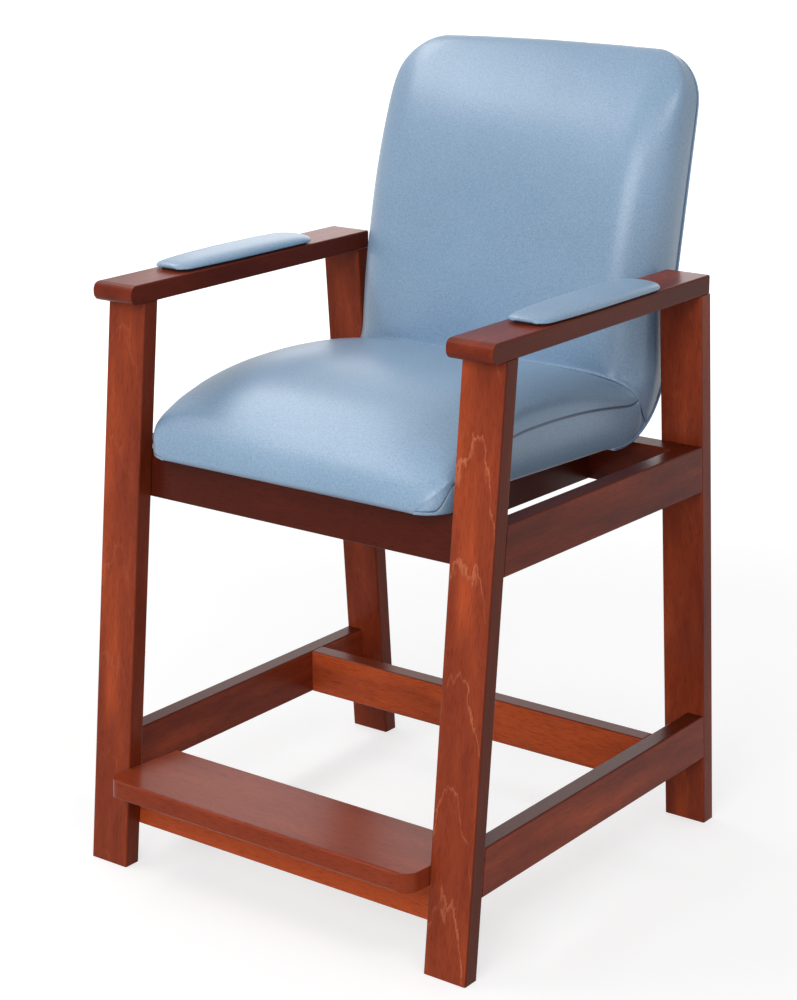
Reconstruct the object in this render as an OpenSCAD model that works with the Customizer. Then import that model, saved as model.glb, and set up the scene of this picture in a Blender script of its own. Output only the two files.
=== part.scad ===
// Hip chair: a high-seated armchair on a splayed hardwood frame, with a footrest board,
// a bent plywood seat and back shell, padded seat and back, and padded arms.
// Millimetres. +Z is up, the chair faces -Y, and +X is the sitter's left.
// z = 0 is the floor, and x = 0, y = 0 is the middle of the chair's outline from above.

/* [Legs] */
// Width over the legs
overall_w = 615; // [580:1:660]
// Width of a leg board, across the chair
leg_w = 62; // [50:1:72]
// Thickness of a leg board, front to back
leg_t = 25; // [20:0.5:30]
// Front of the front feet, ahead of the frame's middle, at the floor
front_foot = 283; // [265:1:310]
// Back of the rear feet, behind the frame's middle, at the floor
rear_foot = 320; // [300:1:340]
// Lean of the front legs from upright, in degrees
front_splay = 5.8; // [4:0.1:7]
// Lean of the rear legs from upright, in degrees
rear_splay = 4.5; // [3:0.1:6]
// Radius on the long edges of every board
edge_r = 2.5; // [1:0.5:5]

/* [Arms] */
// Height of the arms' top face above the floor
arm_h = 780; // [740:1:820]
// Thickness of an arm board
arm_t = 25; // [20:0.5:30]
// Width of an arm board
arm_w = 65; // [55:1:75]
// Front end of the arms, ahead of the frame's middle
arm_front = 234; // [222:1:260]
// Rear end of the arms, behind the frame's middle
arm_rear = 256; // [250:1:275]
// Radius on the arms' rounded front end
arm_nose_r = 11; // [4:0.5:12]

/* [Seat frame] */
// Height of a seat rail board
rail_h = 63; // [50:1:75]
// Thickness of a seat rail board
rail_t = 26; // [20:0.5:30]
// Thickness of the rear seat rail
rear_rail_t = 29; // [20:0.5:32]
// Height of the side rails' lower edge, at the frame's middle
rail_low = 494; // [440:1:520]
// Fall of the seat rails to the rear, in degrees
rail_fall = 1.1; // [0:0.1:3]
// Distance between the outer faces of the two seat runners
runner_span = 302; // [240:2:360]
// Thickness of a seat runner
runner_t = 24; // [18:1:30]

/* [Stretchers] */
// Height of a stretcher board
stretcher_h = 63; // [45:1:75]
// Thickness of a stretcher board
stretcher_t = 26; // [20:0.5:30]
// Height of the side stretchers' lower edge, at the frame's middle
stretcher_low = 102.5; // [90:0.5:140]
// Fall of the side stretchers to the rear, in degrees
stretcher_fall = 0.4; // [0:0.1:2]
// Front face of the rear cross stretcher, behind the frame's middle
cross_y = 163; // [120:1:200]
// Height of the front stretcher's lower edge
front_stretcher_low = 52; // [40:1:70]

/* [Footrest] */
// Front edge of the footrest board, ahead of the frame's middle
footrest_front = 314; // [300:1:330]
// Depth of the footrest board, front to back
footrest_d = 141; // [110:1:160]
// Thickness of the footrest board
footrest_t = 25; // [18:0.5:30]
// Height of the footrest's top at its front edge
footrest_h = 140.5; // [125:0.5:160]
// Fall of the footrest to the rear, in degrees
footrest_fall = 3.4; // [0:0.1:6]
// Radius of the footrest's two front corners, seen from above
footrest_corner_r = 22; // [8:1:35]
// Radius on the footrest's front and rear edges
footrest_edge_r = 4; // [2:0.5:8]

/* [Seat and back shell] */
// Thickness of the bent plywood shell
shell_t = 12; // [9:0.5:15]
// How far the shell's sides stand in from the cushions' sides
shell_in = 10; // [9:1:35]
// Front end of the shell, ahead of the frame's middle
shell_front = 206; // [195:1:215]
// Start of the shell's bend, behind the frame's middle
bend_y = 177; // [150:1:180]
// Height of the shell's underside above the front seat rail, at the start of its bend
shell_rise = 0.9; // [0.1:0.1:18]
// Radius of the bend, at the shell's underside
bend_r = 96; // [92:1:105]
// Fall of the seat to the rear, in degrees
seat_pitch = 2.7; // [1:0.1:4]
// Lean of the back from upright, in degrees
back_rake = 10.8; // [6:0.1:14]
// Start of the shell's downward front lip, ahead of the frame's middle
lip_y = 105; // [80:1:130]
// Radius of the front lip
lip_r = 285; // [285:5:400]
// Thickness of the vinyl panel on the shell's back
panel_t = 2.4; // [1.5:0.1:3]
// Front end of that panel, under the seat, behind the frame's middle
panel_front = 150; // [130:1:165]

/* [Cushions] */
// Gap between the cushions' sides and the arms' or legs' inner faces
cushion_gap = 7.5; // [3.5:0.5:20]
// Thickness of vinyl and wadding round a foam core
skin_t = 5; // [3:0.5:5.5]
// How far the cushions' covers reach below the shell's underside
skirt_h = 3; // [1:0.5:5]
// How far a cushion's side walls bow outwards between their seams
side_bow = 2; // [0:0.5:4]
// Front of the seat cushion at its sides, ahead of the frame's middle
seat_front = 236; // [225:1:245]
// How far the middle of the seat's front edge stands ahead of its corners
front_bow = 6; // [0:1:12]
// Radius of the seat cushion's front corners, seen from above
seat_corner_r = 38; // [20:1:60]
// Place of the seat's highest point, ahead of the frame's middle
seat_peak_y = 40; // [0:5:80]
// Rise of the seat's side seam, from the cushion's lower front edge to its peak
seam_rise = 72; // [55:1:85]
// Rise of the seat's middle, from the cushion's lower front edge to its peak
crown_rise = 112; // [90:1:125]
// Radius of the side seam's fall to the rear
seam_arc_r = 1280; // [900:20:2000]
// Radius of the seat middle's fall to the rear
crown_arc_r = 760; // [600:20:1200]
// Angle round the bend at which the seat cushion ends and the back cushion starts
meet_angle = 33; // [25:1:45]
// Height of the cushions' side seams above the shell's underside, where they meet
meet_side_h = 45; // [35:1:55]
// Height of the cushions' middles above the shell's underside, where they meet
meet_mid_h = 76; // [60:1:78]
// Length of the back cushion, from the bend's end to its top edge
back_l = 414; // [360:2:440]
// Height of the back cushion's thickest place above the bend's end
back_swell_l = 150; // [120:5:200]
// Thickness of the back cushion's sides at that place, from the shell's back
back_side_t = 73; // [55:1:80]
// Radius of the back's side seam below that place
back_arc_r = 940; // [700:20:1600]
// How far the back's middle stands ahead of its sides at the bend's end
back_crown_low = 20; // [10:1:22]
// How far the back's middle stands ahead of its sides at its thickest place
back_crown = 16; // [5:1:22]
// Radius of the back's two top corners, seen from the front
back_corner_r = 68; // [40:1:90]
// How far the middle of the back's top edge stands above its corners
top_bow = 5; // [0:1:10]

/* [Arm pads] */
// Length of an arm pad
pad_l = 273; // [240:1:290]
// Greatest width of an arm pad
pad_w = 69; // [60:1:72]
// Width of an arm pad at its front end
pad_front_w = 57; // [45:1:65]
// Height of an arm pad's crown above the arm
pad_h = 12; // [10:0.5:18]
// Front end of the arm pads, ahead of the frame's middle
pad_front = 128; // [100:1:140]
// How far a pad's middle line is from the arm's, to the outside
pad_out = 2; // [0:0.5:4]
// Thickness of the board under an arm pad
pad_base_t = 5; // [4:0.5:6]
// How far that board stands in from the pad's edge
pad_base_in = 6; // [4:0.5:12]
// How much of that board's edge shows under the pad
pad_lift = 3; // [2:0.5:3.5]

/* [Fixings] */
// Diameter of a dowel
dowel_d = 10; // [6:0.5:12]
// Length of a dowel
dowel_l = 40; // [30:1:50]
// Distance between the two dowels of a joint
dowel_pitch = 34; // [24:1:40]
// Depth of a dowel's blind hole in the thinner board
dowel_in = 16; // [10:0.5:18]
// Radial clearance of dowels and screws in their holes
hole_gap = 0.1; // [0.05:0.05:0.3]
// Diameter of a wood screw
screw_d = 5; // [4:0.5:6]
// Diameter of a screw's countersunk head
screw_head_d = 9.5; // [8:0.5:12]
// Diameter of a seat bolt
bolt_d = 6; // [5:1:8]
// Diameter of a seat bolt's head
bolt_head_d = 11; // [9:0.5:13]
// Height of a seat bolt's head
bolt_head_h = 4; // [3:0.5:6]
// Length of a seat bolt in a runner
bolt_grip = 36; // [25:1:45]
// Distance of the seat bolts from the frame's middle, front and rear
bolt_reach = 110; // [80:1:130]
// Diameter of a threaded insert's flange
insert_d = 19; // [14:1:24]
// Diameter of a threaded insert's barrel
insert_barrel_d = 9; // [8.5:0.5:12]
// Thickness of a threaded insert's flange
insert_flange_t = 1.5; // [1:0.5:2.5]

/* [Hidden] */
$fn = 24;
// Overrun of a cutting shape past the face it cuts
over = 1;
// Gap between soft pieces and their neighbours
soft_gap = 0.3;

half_w = overall_w / 2;
leg_x = half_w - leg_w / 2;
leg_in = half_w - leg_w;
leg_top = arm_h - arm_t;
front_run = leg_t / cos(front_splay);
rear_run = leg_t / cos(rear_splay);
rail_x = half_w - rail_t / 2;
rail_in = half_w - rail_t;
stretcher_x = half_w - stretcher_t / 2;
stretcher_in = half_w - stretcher_t;
arm_x = half_w - arm_w / 2;
runner_x = runner_span / 2 - runner_t / 2;
cushion_half_w = half_w - max(arm_w, leg_w) - cushion_gap;
shell_half_w = cushion_half_w - shell_in;

// Faces and middle lines of the leaning legs at height z
function front_leg_front(z) = -front_foot + z * tan(front_splay);
function front_leg_back(z) = front_leg_front(z) + front_run;
function front_leg_mid(z) = front_leg_front(z) + front_run / 2;
function rear_leg_back(z) = rear_foot - z * tan(rear_splay);
function rear_leg_front(z) = rear_leg_back(z) - rear_run;
function rear_leg_mid(z) = rear_leg_front(z) + rear_run / 2;

// Lower edges and middle lines of the side boards at y
function rail_bottom(y) = rail_low - y * tan(rail_fall);
function rail_mid(y) = rail_bottom(y) + rail_h / 2;
function stretcher_bottom(y) = stretcher_low - y * tan(stretcher_fall);
function stretcher_mid(y) = stretcher_bottom(y) + stretcher_h / 2;

// Middles of the cross boards, which stand against the legs and lean with them
front_rail_z = rail_mid(front_leg_back(rail_low));
front_rail_y = front_leg_back(front_rail_z) + rail_t / 2 / cos(front_splay);
rear_rail_z = rail_mid(rear_leg_front(rail_low));
rear_rail_y = rear_leg_front(rear_rail_z) - rear_rail_t / 2 / cos(rear_splay);
rear_stretcher_y = cross_y + stretcher_t / 2;
rear_stretcher_z = stretcher_mid(rear_stretcher_y);
front_stretcher_z = front_stretcher_low + stretcher_h / 2;
front_stretcher_y = front_leg_back(front_stretcher_z) + stretcher_t / 2 / cos(front_splay);
front_rail_top = front_rail_z + (rail_h * cos(front_splay) + rail_t * sin(front_splay)) / 2;

// The footrest's middle plane
footrest_z = footrest_h - footrest_t / 2;
function footrest_mid(y) = footrest_z - (y + footrest_front) * tan(footrest_fall);
footrest_under = footrest_t / 2 / cos(footrest_fall);

// The shell's bend: its start, its middle, its far end, and points out from it
bend_z = front_rail_top + shell_rise;
bend_cy = bend_y + bend_r * sin(seat_pitch);
bend_cz = bend_z + bend_r * cos(seat_pitch);
back_angle = 90 - back_rake;
function bend_point(a, r) = [bend_cy + r * sin(a), bend_cz - r * cos(a)];
// A point on the shell's back, o ahead of its rear face and l above the bend's end
function back_point(l, o) =
    bend_point(back_angle, bend_r - o) + l * [cos(back_angle), sin(back_angle)];

// The shell's underside along y, with the front lip as an arc
lip_cy = -lip_y - lip_r * sin(seat_pitch);
lip_cz = bend_z + (bend_y + lip_y) * tan(seat_pitch) - lip_r * cos(seat_pitch);
function lip_point(y, o) =
    let (a = asin((y - lip_cy) / lip_r))
    [lip_cy + (lip_r + o) * sin(a), lip_cz + (lip_r + o) * cos(a)];
function shell_under(y) =
    y < -lip_y
        ? lip_point(max(y, -shell_front), 0)[1]
        : bend_z + (bend_y - y) * tan(seat_pitch);

lip_steps = 5;
bend_steps = 10;
shell_l = back_l - skin_t - skirt_h;
shell_corner_r = back_corner_r - shell_in;
// A line along the shell, o above its underside, from y = from to l above the bend's end
function shell_line(o, from, l) = concat(
    from < -lip_y
        ? [for (i = [0:lip_steps]) lip_point(from + (-lip_y - from) * i / lip_steps, o)]
        : [[from, shell_under(from) + o / cos(seat_pitch)]],
    [for (i = [0:bend_steps])
        bend_point(-seat_pitch + (back_angle + seat_pitch) * i / bend_steps, bend_r - o)],
    [back_point(l, o)]
);
function backwards(list) = [for (i = [len(list) - 1:-1:0]) list[i]];
function shell_outline(o0, o1, from, l) =
    concat(shell_line(o0, from, l), backwards(shell_line(o1, from, l)));

// The chair's outline from above is centred on the origin
foremost = footrest_front + (footrest_t / 2 - footrest_edge_r) * sin(footrest_fall)
    + footrest_edge_r * (1 - cos(footrest_fall));
rearmost = back_point(back_l, -skirt_h)[0];
shift_y = (foremost - rearmost) / 2;

wood = "saddlebrown";
vinyl = "lightsteelblue";
steel = "silver";

module placed() {
    translate([0, shift_y, 0]) children();
}

module mirrored() {
    mirror([1, 0, 0]) children();
}

module both_sides() {
    children();
    mirrored() children();
}

// A board's cross-section with eased edges, centred
module eased(w, h, r) {
    square([w - 2 * r, h], center = true);
    square([w, h - 2 * r], center = true);
    for (sx = [-1, 1], sy = [-1, 1])
        translate([sx * (w / 2 - r), sy * (h / 2 - r)]) circle(r);
}

// A side view drawn in Y and Z, carried from x0 to x1
module side_view(points, x0, x1) {
    translate([x0, 0, 0])
        rotate([90, 0, 90]) linear_extrude(x1 - x0) polygon(points);
}

// A bar with eased edges along Y, which falls by angle a to the rear
module bar_y(w, h, z_mid, a, r) {
    reach = front_foot + rear_foot;
    translate([0, 0, z_mid])
        rotate([-90 - a, 0, 0])
            translate([0, 0, -reach]) linear_extrude(2 * reach) eased(w, h, r);
}

// A bar with eased edges along X, to x1 on both sides
module bar_x(d, h, x1, r) {
    rotate([90, 0, 90]) translate([0, 0, -x1]) linear_extrude(2 * x1) eased(d, h, r);
}

// The space between the front and rear legs
module between_legs() {
    side_view([
        [front_leg_back(0), 0], [rear_leg_front(0), 0],
        [rear_leg_front(leg_top), leg_top], [front_leg_back(leg_top), leg_top]
    ], -half_w - over, half_w + over);
}

// Round pins for dowels and, a little wider and longer, for their holes
module pin_x(x0, x1, y, z, r) {
    translate([x0, y, z]) rotate([0, 90, 0]) cylinder(h = x1 - x0, r = r);
}

module pin_y(x, y0, y1, z, r) {
    translate([x, y0, z]) rotate([-90, 0, 0]) cylinder(h = y1 - y0, r = r);
}

module pin_z(x, y, z0, z1, r) {
    translate([x, y, z0]) cylinder(h = z1 - z0, r = r);
}

dowel_r = dowel_d / 2;
dowel_out = dowel_l - dowel_in;
pin_steps = [-dowel_pitch / 2, dowel_pitch / 2];

// A dowel through the joint at y, from a board ahead of it into one behind, or the other way
module pin_back(x, y, z, e) {
    pin_y(x, y - dowel_in - e, y + dowel_out + e, z, dowel_r + e);
}

module pin_ahead(x, y, z, e) {
    pin_y(x, y - dowel_out - e, y + dowel_in + e, z, dowel_r + e);
}

// Two dowels from each left leg into the left side rail
module side_rail_pins(e = 0) {
    for (s = pin_steps) {
        zf = rail_mid(front_leg_back(rail_low)) + s;
        zr = rail_mid(rear_leg_front(rail_low)) + s;
        pin_back(rail_x, front_leg_back(zf), zf, e);
        pin_ahead(rail_x, rear_leg_front(zr), zr, e);
    }
}

// Two dowels from each left leg into the left side stretcher
module side_stretcher_pins(e = 0) {
    for (s = pin_steps) {
        zf = stretcher_mid(front_leg_back(stretcher_low)) + s;
        zr = stretcher_mid(rear_leg_front(stretcher_low)) + s;
        pin_back(stretcher_x, front_leg_back(zf), zf, e);
        pin_ahead(stretcher_x, rear_leg_front(zr), zr, e);
    }
}

// Two dowels from each left leg's inner half into a cross rail that stands against it
cross_pin_x = (leg_in + rail_in) / 2;
module cross_rail_pins(e = 0) {
    for (s = pin_steps) {
        zf = front_rail_z + s;
        zr = rear_rail_z + s;
        pin_back(cross_pin_x, front_leg_back(zf), zf, e);
        pin_ahead(cross_pin_x, rear_leg_front(zr), zr, e);
    }
}

// One dowel at each end of the left runner, into the cross rails
runner_front = front_leg_back(front_rail_z) + rail_t / cos(front_splay);
runner_back = rear_leg_front(rear_rail_z) - rear_rail_t / cos(rear_splay);
module runner_pins(e = 0) {
    pin_back(runner_x, runner_front, front_rail_z, e);
    pin_ahead(runner_x, runner_back, rear_rail_z, e);
}

// Two dowels from the left side stretcher into the rear stretcher
module rear_stretcher_pins(e = 0) {
    for (s = pin_steps)
        pin_x(stretcher_in - dowel_out - e, stretcher_in + dowel_in + e,
              rear_stretcher_y, rear_stretcher_z + s, dowel_r + e);
}

// Two dowels from each left leg's top into the left arm
module arm_pins(e = 0) {
    for (s = pin_steps, y = [front_leg_mid(leg_top), rear_leg_mid(leg_top)])
        pin_z(leg_x + s, y, leg_top - dowel_out - e, leg_top + dowel_in + e, dowel_r + e);
}

// One dowel from the left front leg into the footrest's end
footrest_pin_y = front_leg_mid(footrest_z);
module footrest_pins(e = 0) {
    pin_x(leg_in - dowel_out - e, leg_in + dowel_in + e,
          footrest_pin_y, footrest_mid(footrest_pin_y), dowel_r + e);
}

// A countersunk screw that runs up from the face of its head
screw_head_h = (screw_head_d - screw_d) / 2;
module screw(l, e) {
    cylinder(h = l + e, r = screw_d / 2 + e);
    cylinder(h = screw_head_h, r1 = screw_head_d / 2 + e, r2 = screw_d / 2 + e);
}

// The front stretcher reaches up to the footrest's underside
front_stretcher_top = footrest_mid(front_stretcher_y) - footrest_under;

// Two screws through the front stretcher into the left front leg
stretcher_screw_l = 42;
stretcher_screw_edge = 14.5;
module stretcher_screw_pair(e = 0) {
    for (z = [front_stretcher_low + stretcher_screw_edge, front_stretcher_top - stretcher_screw_edge])
        translate([cross_pin_x, front_leg_back(z), z])
            rotate([-front_splay, 0, 0])
                translate([0, stretcher_t, 0]) rotate([90, 0, 0]) screw(stretcher_screw_l, e);
}

// Three screws up through the front stretcher into the footrest, in wide bores
footrest_screw_l = 40;
footrest_screw_in = 16;
footrest_screw_end = 55.5;
module at_footrest_screws() {
    for (k = [-1:1])
        translate([k * (leg_in - footrest_screw_end), front_stretcher_y,
                   front_stretcher_top + footrest_screw_in - footrest_screw_l])
            children();
}

// A screw up through the left arm into each end of its pad's board
pad_x = arm_x + pad_out;
pad_screw_tip = 1.5;
pad_screw_l = arm_t + pad_base_t - pad_screw_tip;
pad_screw_in = 50;
module pad_screw_pair(e = 0) {
    for (y = [-pad_front + pad_screw_in, -pad_front + pad_l - pad_screw_in])
        translate([pad_x, y, leg_top]) screw(pad_screw_l, e);
}

// Places of the seat bolts, square to the shell's underside
module at_seat_bolts() {
    for (y = [-bolt_reach, bolt_reach])
        translate([runner_x, min(y, bend_y), shell_under(y)]) rotate([-seat_pitch, 0, 0]) children();
}

module leg(foot_y, splay) {
    reach = leg_top / cos(splay) + leg_w;
    intersection() {
        translate([leg_x, foot_y, 0])
            rotate([-splay, 0, 0])
                translate([0, 0, -leg_w]) linear_extrude(reach + leg_w) eased(leg_w, leg_t, edge_r);
        translate([0, -front_foot - rear_foot, 0])
            cube([overall_w, 2 * (front_foot + rear_foot), leg_top]);
    }
}

module front_leg() {
    color(wood) difference() {
        leg(front_leg_mid(0), front_splay);
        side_rail_pins(hole_gap);
        side_stretcher_pins(hole_gap);
        cross_rail_pins(hole_gap);
        arm_pins(hole_gap);
        footrest_pins(hole_gap);
        stretcher_screw_pair(hole_gap);
    }
}

module rear_leg() {
    color(wood) difference() {
        leg(rear_leg_mid(0), -rear_splay);
        side_rail_pins(hole_gap);
        side_stretcher_pins(hole_gap);
        cross_rail_pins(hole_gap);
        arm_pins(hole_gap);
    }
}

// Side view of an arm: a straight board with a rounded front end
module arm_side() {
    translate([-arm_front + arm_nose_r, leg_top]) square([arm_front + arm_rear - arm_nose_r, arm_t]);
    translate([-arm_front, leg_top + arm_nose_r]) square([arm_nose_r + over, arm_t - 2 * arm_nose_r]);
    for (z = [leg_top + arm_nose_r, arm_h - arm_nose_r])
        translate([-arm_front + arm_nose_r, z]) circle(arm_nose_r);
}

module arm() {
    color(wood) difference() {
        intersection() {
            translate([arm_x, 0, 0]) bar_y(arm_w, arm_t, leg_top + arm_t / 2, 0, edge_r);
            rotate([90, 0, 90]) linear_extrude(overall_w) arm_side();
        }
        arm_pins(hole_gap);
        pad_screw_pair(hole_gap);
    }
}

module side_rail() {
    color(wood) difference() {
        intersection() {
            translate([rail_x, 0, 0]) bar_y(rail_t, rail_h, rail_mid(0), rail_fall, edge_r);
            between_legs();
        }
        side_rail_pins(hole_gap);
    }
}

module side_stretcher() {
    color(wood) difference() {
        intersection() {
            translate([stretcher_x, 0, 0])
                bar_y(stretcher_t, stretcher_h, stretcher_mid(0), stretcher_fall, edge_r);
            between_legs();
        }
        side_stretcher_pins(hole_gap);
        rear_stretcher_pins(hole_gap);
    }
}

module front_seat_rail() {
    color(wood) difference() {
        translate([0, front_rail_y, front_rail_z])
            rotate([-front_splay, 0, 0]) bar_x(rail_t, rail_h, rail_in, edge_r);
        both_sides() cross_rail_pins(hole_gap);
        both_sides() runner_pins(hole_gap);
    }
}

module rear_seat_rail() {
    color(wood) difference() {
        translate([0, rear_rail_y, rear_rail_z])
            rotate([rear_splay, 0, 0]) bar_x(rear_rail_t, rail_h, rail_in, edge_r);
        both_sides() cross_rail_pins(hole_gap);
        both_sides() runner_pins(hole_gap);
    }
}

module rear_stretcher() {
    color(wood) difference() {
        translate([0, rear_stretcher_y, rear_stretcher_z])
            bar_x(stretcher_t, stretcher_h, stretcher_in, edge_r);
        both_sides() rear_stretcher_pins(hole_gap);
    }
}

// A runner is level with the rails below, and its top follows the shell's underside
module seat_runner() {
    low = rail_low - rail_h;
    high = rail_low + 2 * rail_h;
    lip_end = front_leg_back(front_rail_top);
    color(wood) difference() {
        intersection() {
            side_view([
                [front_leg_back(low) + rail_t / cos(front_splay), low],
                [rear_leg_front(low) - rear_rail_t / cos(rear_splay), low],
                [rear_leg_front(high) - rear_rail_t / cos(rear_splay), high],
                [front_leg_back(high) + rail_t / cos(front_splay), high]
            ], runner_x - runner_t / 2, runner_x + runner_t / 2);
            side_view(concat(
                [[-front_foot, rail_bottom(-front_foot)], [rear_foot, rail_bottom(rear_foot)]],
                [[rear_foot, panel_low(rear_foot)], [panel_front - soft_gap, panel_low(panel_front)]],
                [[panel_front - soft_gap, shell_under(panel_front)]],
                backwards([for (i = [0:lip_steps])
                    lip_point(lip_end + (-lip_y - lip_end) * i / lip_steps, 0)]),
                [[-front_foot, lip_point(lip_end, 0)[1]]]
            ), runner_x - runner_t, runner_x + runner_t);
        }
        runner_pins(hole_gap);
        at_seat_bolts() seat_bolt_space();
    }
}

// Height just below the vinyl panel's lower end, which lies between shell and runner
function panel_low(y) =
    bend_z + (bend_y - y) * tan(seat_pitch) - (panel_t + 2 * soft_gap) / cos(seat_pitch);

module front_stretcher() {
    side = [
        [-footrest_front, 0], [0, 0], [0, footrest_mid(0) - footrest_under],
        [-footrest_front, footrest_mid(-footrest_front) - footrest_under]
    ];
    color(wood) difference() {
        intersection() {
            translate([0, front_stretcher_y, front_stretcher_z])
                rotate([-front_splay, 0, 0])
                    translate([0, 0, footrest_t / 2])
                        bar_x(stretcher_t, stretcher_h + footrest_t, stretcher_in, edge_r);
            side_view(side, -half_w, half_w);
        }
        both_sides() stretcher_screw_pair(hole_gap);
        at_footrest_screws() {
            screw(footrest_screw_l, hole_gap);
            translate([0, 0, -stretcher_h])
                cylinder(h = stretcher_h, r = screw_head_d / 2 + hole_gap);
        }
    }
}

// The footrest seen from above, with its front edge at y = 0
module footrest_plan() {
    r = footrest_corner_r;
    translate([-leg_in, r]) square([2 * leg_in, footrest_d - r]);
    translate([-leg_in + r, 0]) square([2 * (leg_in - r), r + over]);
    for (s = [-1, 1])
        translate([s * (leg_in - r), r]) circle(r);
}

module footrest_board() {
    color(wood) difference() {
        translate([0, -footrest_front, footrest_z])
            rotate([-footrest_fall, 0, 0])
                intersection() {
                    translate([0, 0, -footrest_t / 2]) linear_extrude(footrest_t) footrest_plan();
                    translate([0, footrest_d / 2, 0])
                        bar_x(footrest_d, footrest_t, half_w, footrest_edge_r);
                }
        both_sides() footrest_pins(hole_gap);
        at_footrest_screws() screw(footrest_screw_l, hole_gap);
    }
}

// A seat bolt stands on the shell's underside, with its head down in the runner
bolt_in = shell_t - insert_flange_t;
module seat_bolt() {
    translate([0, 0, -bolt_grip]) cylinder(h = bolt_grip + bolt_in, r = bolt_d / 2);
    translate([0, 0, -bolt_grip - bolt_head_h]) cylinder(h = bolt_head_h, r = bolt_head_d / 2);
}

// Its hole and the bore for its head, which goes on down out of the runner
module seat_bolt_space() {
    translate([0, 0, -bolt_grip - over]) cylinder(h = bolt_grip + 2 * over, r = bolt_d / 2 + hole_gap);
    translate([0, 0, -bolt_grip - 2 * rail_h])
        cylinder(h = 2 * rail_h, r = bolt_head_d / 2 + hole_gap);
}

// A threaded insert is let into the shell from above
module seat_insert(e = 0) {
    cylinder(h = shell_t, r = insert_barrel_d / 2 + e);
    translate([0, 0, shell_t - insert_flange_t - e])
        cylinder(h = insert_flange_t + e, r = insert_d / 2 + e);
}

module seat_insert_part() {
    difference() {
        seat_insert();
        translate([0, 0, -over]) cylinder(h = shell_t + 2 * over, r = bolt_d / 2 + hole_gap);
    }
}

// The front view of a sheet on the back, with two round top corners
corner_steps = 6;
module back_view(half, top, r) {
    arc = [for (i = [0:corner_steps])
        let (a = 90 * i / corner_steps)
        [half - r + r * cos(a), top - r + r * sin(a)]];
    polygon(concat([[-half, 0], [half, 0]], arc, backwards([for (p = arc) [-p[0], p[1]]])));
}

// A bent sheet between o0 and o1 above the shell's underside
module bent_sheet(o0, o1, half, from, l, r) {
    reach = rear_foot + arm_h;
    intersection() {
        side_view(shell_outline(o0, o1, from, l), -half, half);
        translate([0, reach, 0])
            rotate([90, 0, 0])
                linear_extrude(2 * reach) back_view(half, back_point(l, o1)[1], r);
    }
}

module seat_shell() {
    color("burlywood") difference() {
        bent_sheet(0, shell_t, shell_half_w, -shell_front, shell_l, shell_corner_r);
        both_sides() at_seat_bolts() seat_insert(hole_gap);
    }
}

module back_panel() {
    color(vinyl)
        bent_sheet(-soft_gap - panel_t, -soft_gap, shell_half_w, panel_front, shell_l, shell_corner_r);
}

// The room that the shell takes up inside the covers, open below and behind
module shell_room() {
    bent_sheet(-2 * skirt_h, shell_t + soft_gap, shell_half_w + soft_gap,
               -shell_front - soft_gap, shell_l + soft_gap, shell_corner_r + soft_gap);
}

// One ring of a cushion's skin round the middle plane x = 0, from its right lower edge over
// its crown to its left lower edge. It stands at place on the shell's underside, leans back
// by tilt, and its middle runs ahead of its sides by lead.
side_steps = 3;
crown_steps = 10;
function crown_share(share) = sqrt(max(0, 1 - pow(share, 4)));
function half_ring(w, low, side_h, mid_h, lead) = concat(
    [for (i = [0:side_steps - 1])
        [w + side_bow * (sin(180 * i / side_steps) - 1), low + (side_h - low) * i / side_steps, 0]],
    [for (i = [0:crown_steps])
        let (share = cos(90 * i / crown_steps), up = crown_share(share))
        [(w - side_bow) * share, side_h + (mid_h - side_h) * up, lead * up]]
);
function ring(place, tilt, w, low, side_h, mid_h, lead) =
    let (half = half_ring(w, low, side_h, mid_h, lead), n = len(half))
    [for (i = [0:2 * n - 2])
        let (p = i < n ? half[i] : half[2 * n - 2 - i], side = i < n ? 1 : -1)
        [side * p[0],
         place[0] - p[1] * sin(tilt) + p[2] * cos(tilt),
         place[1] + p[1] * cos(tilt) + p[2] * sin(tilt)]];

// A closed skin of triangles through rings, with a middle point in each end
function end_middle(r) = (r[0] + r[len(r) - 1] + 2 * r[(len(r) - 1) / 2]) / 4;
module loft(rings) {
    n = len(rings[0]);
    last = (len(rings) - 1) * n;
    skin = [for (i = [0:len(rings) - 2], j = [0:n - 1])
        let (a = i * n + j, b = i * n + (j + 1) % n)
        each [[a, b, a + n], [b, b + n, a + n]]];
    ends = [for (j = [0:n - 1])
        let (k = (j + 1) % n)
        each [[last + n, k, j], [last + n + 1, last + j, last + k]]];
    middles = [end_middle(rings[0]), end_middle(rings[len(rings) - 1])];
    polyhedron(concat([for (r = rings) each r], middles), concat(skin, ends));
}

// The seat cushion's lower front edge and the sizes of its long front nose
seat_low = front_rail_top + soft_gap;
nose_side = seat_front - seat_peak_y;
nose_mid = nose_side + front_bow + seat_peak_y / 2;
function corner_w(d, r, w) = d < r ? w - r + sqrt(r * r - (r - d) * (r - d)) : w;
// Height of an arc that falls off from the seat's peak
function fall(d, r) = d * d / (2 * r);

// A ring at angle a round the seat's nose, drawn in by inset
function nose_ring(a, inset, low) =
    let (y = -seat_peak_y - (nose_side - inset) * cos(a),
         mid_y = -seat_peak_y / 2 - (nose_mid - inset) * cos(a),
         z = shell_under(y),
         d = y + seat_front - inset,
         w = corner_w(d, seat_corner_r - inset, cushion_half_w - inset))
    ring([y, z], 0, w, max(low, seat_low + inset - z),
         seat_low + inset + (seam_rise - 2 * inset) * sin(a) - z,
         seat_low + inset + (crown_rise - 2 * inset) * sin(a) - z, mid_y - y);

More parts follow.
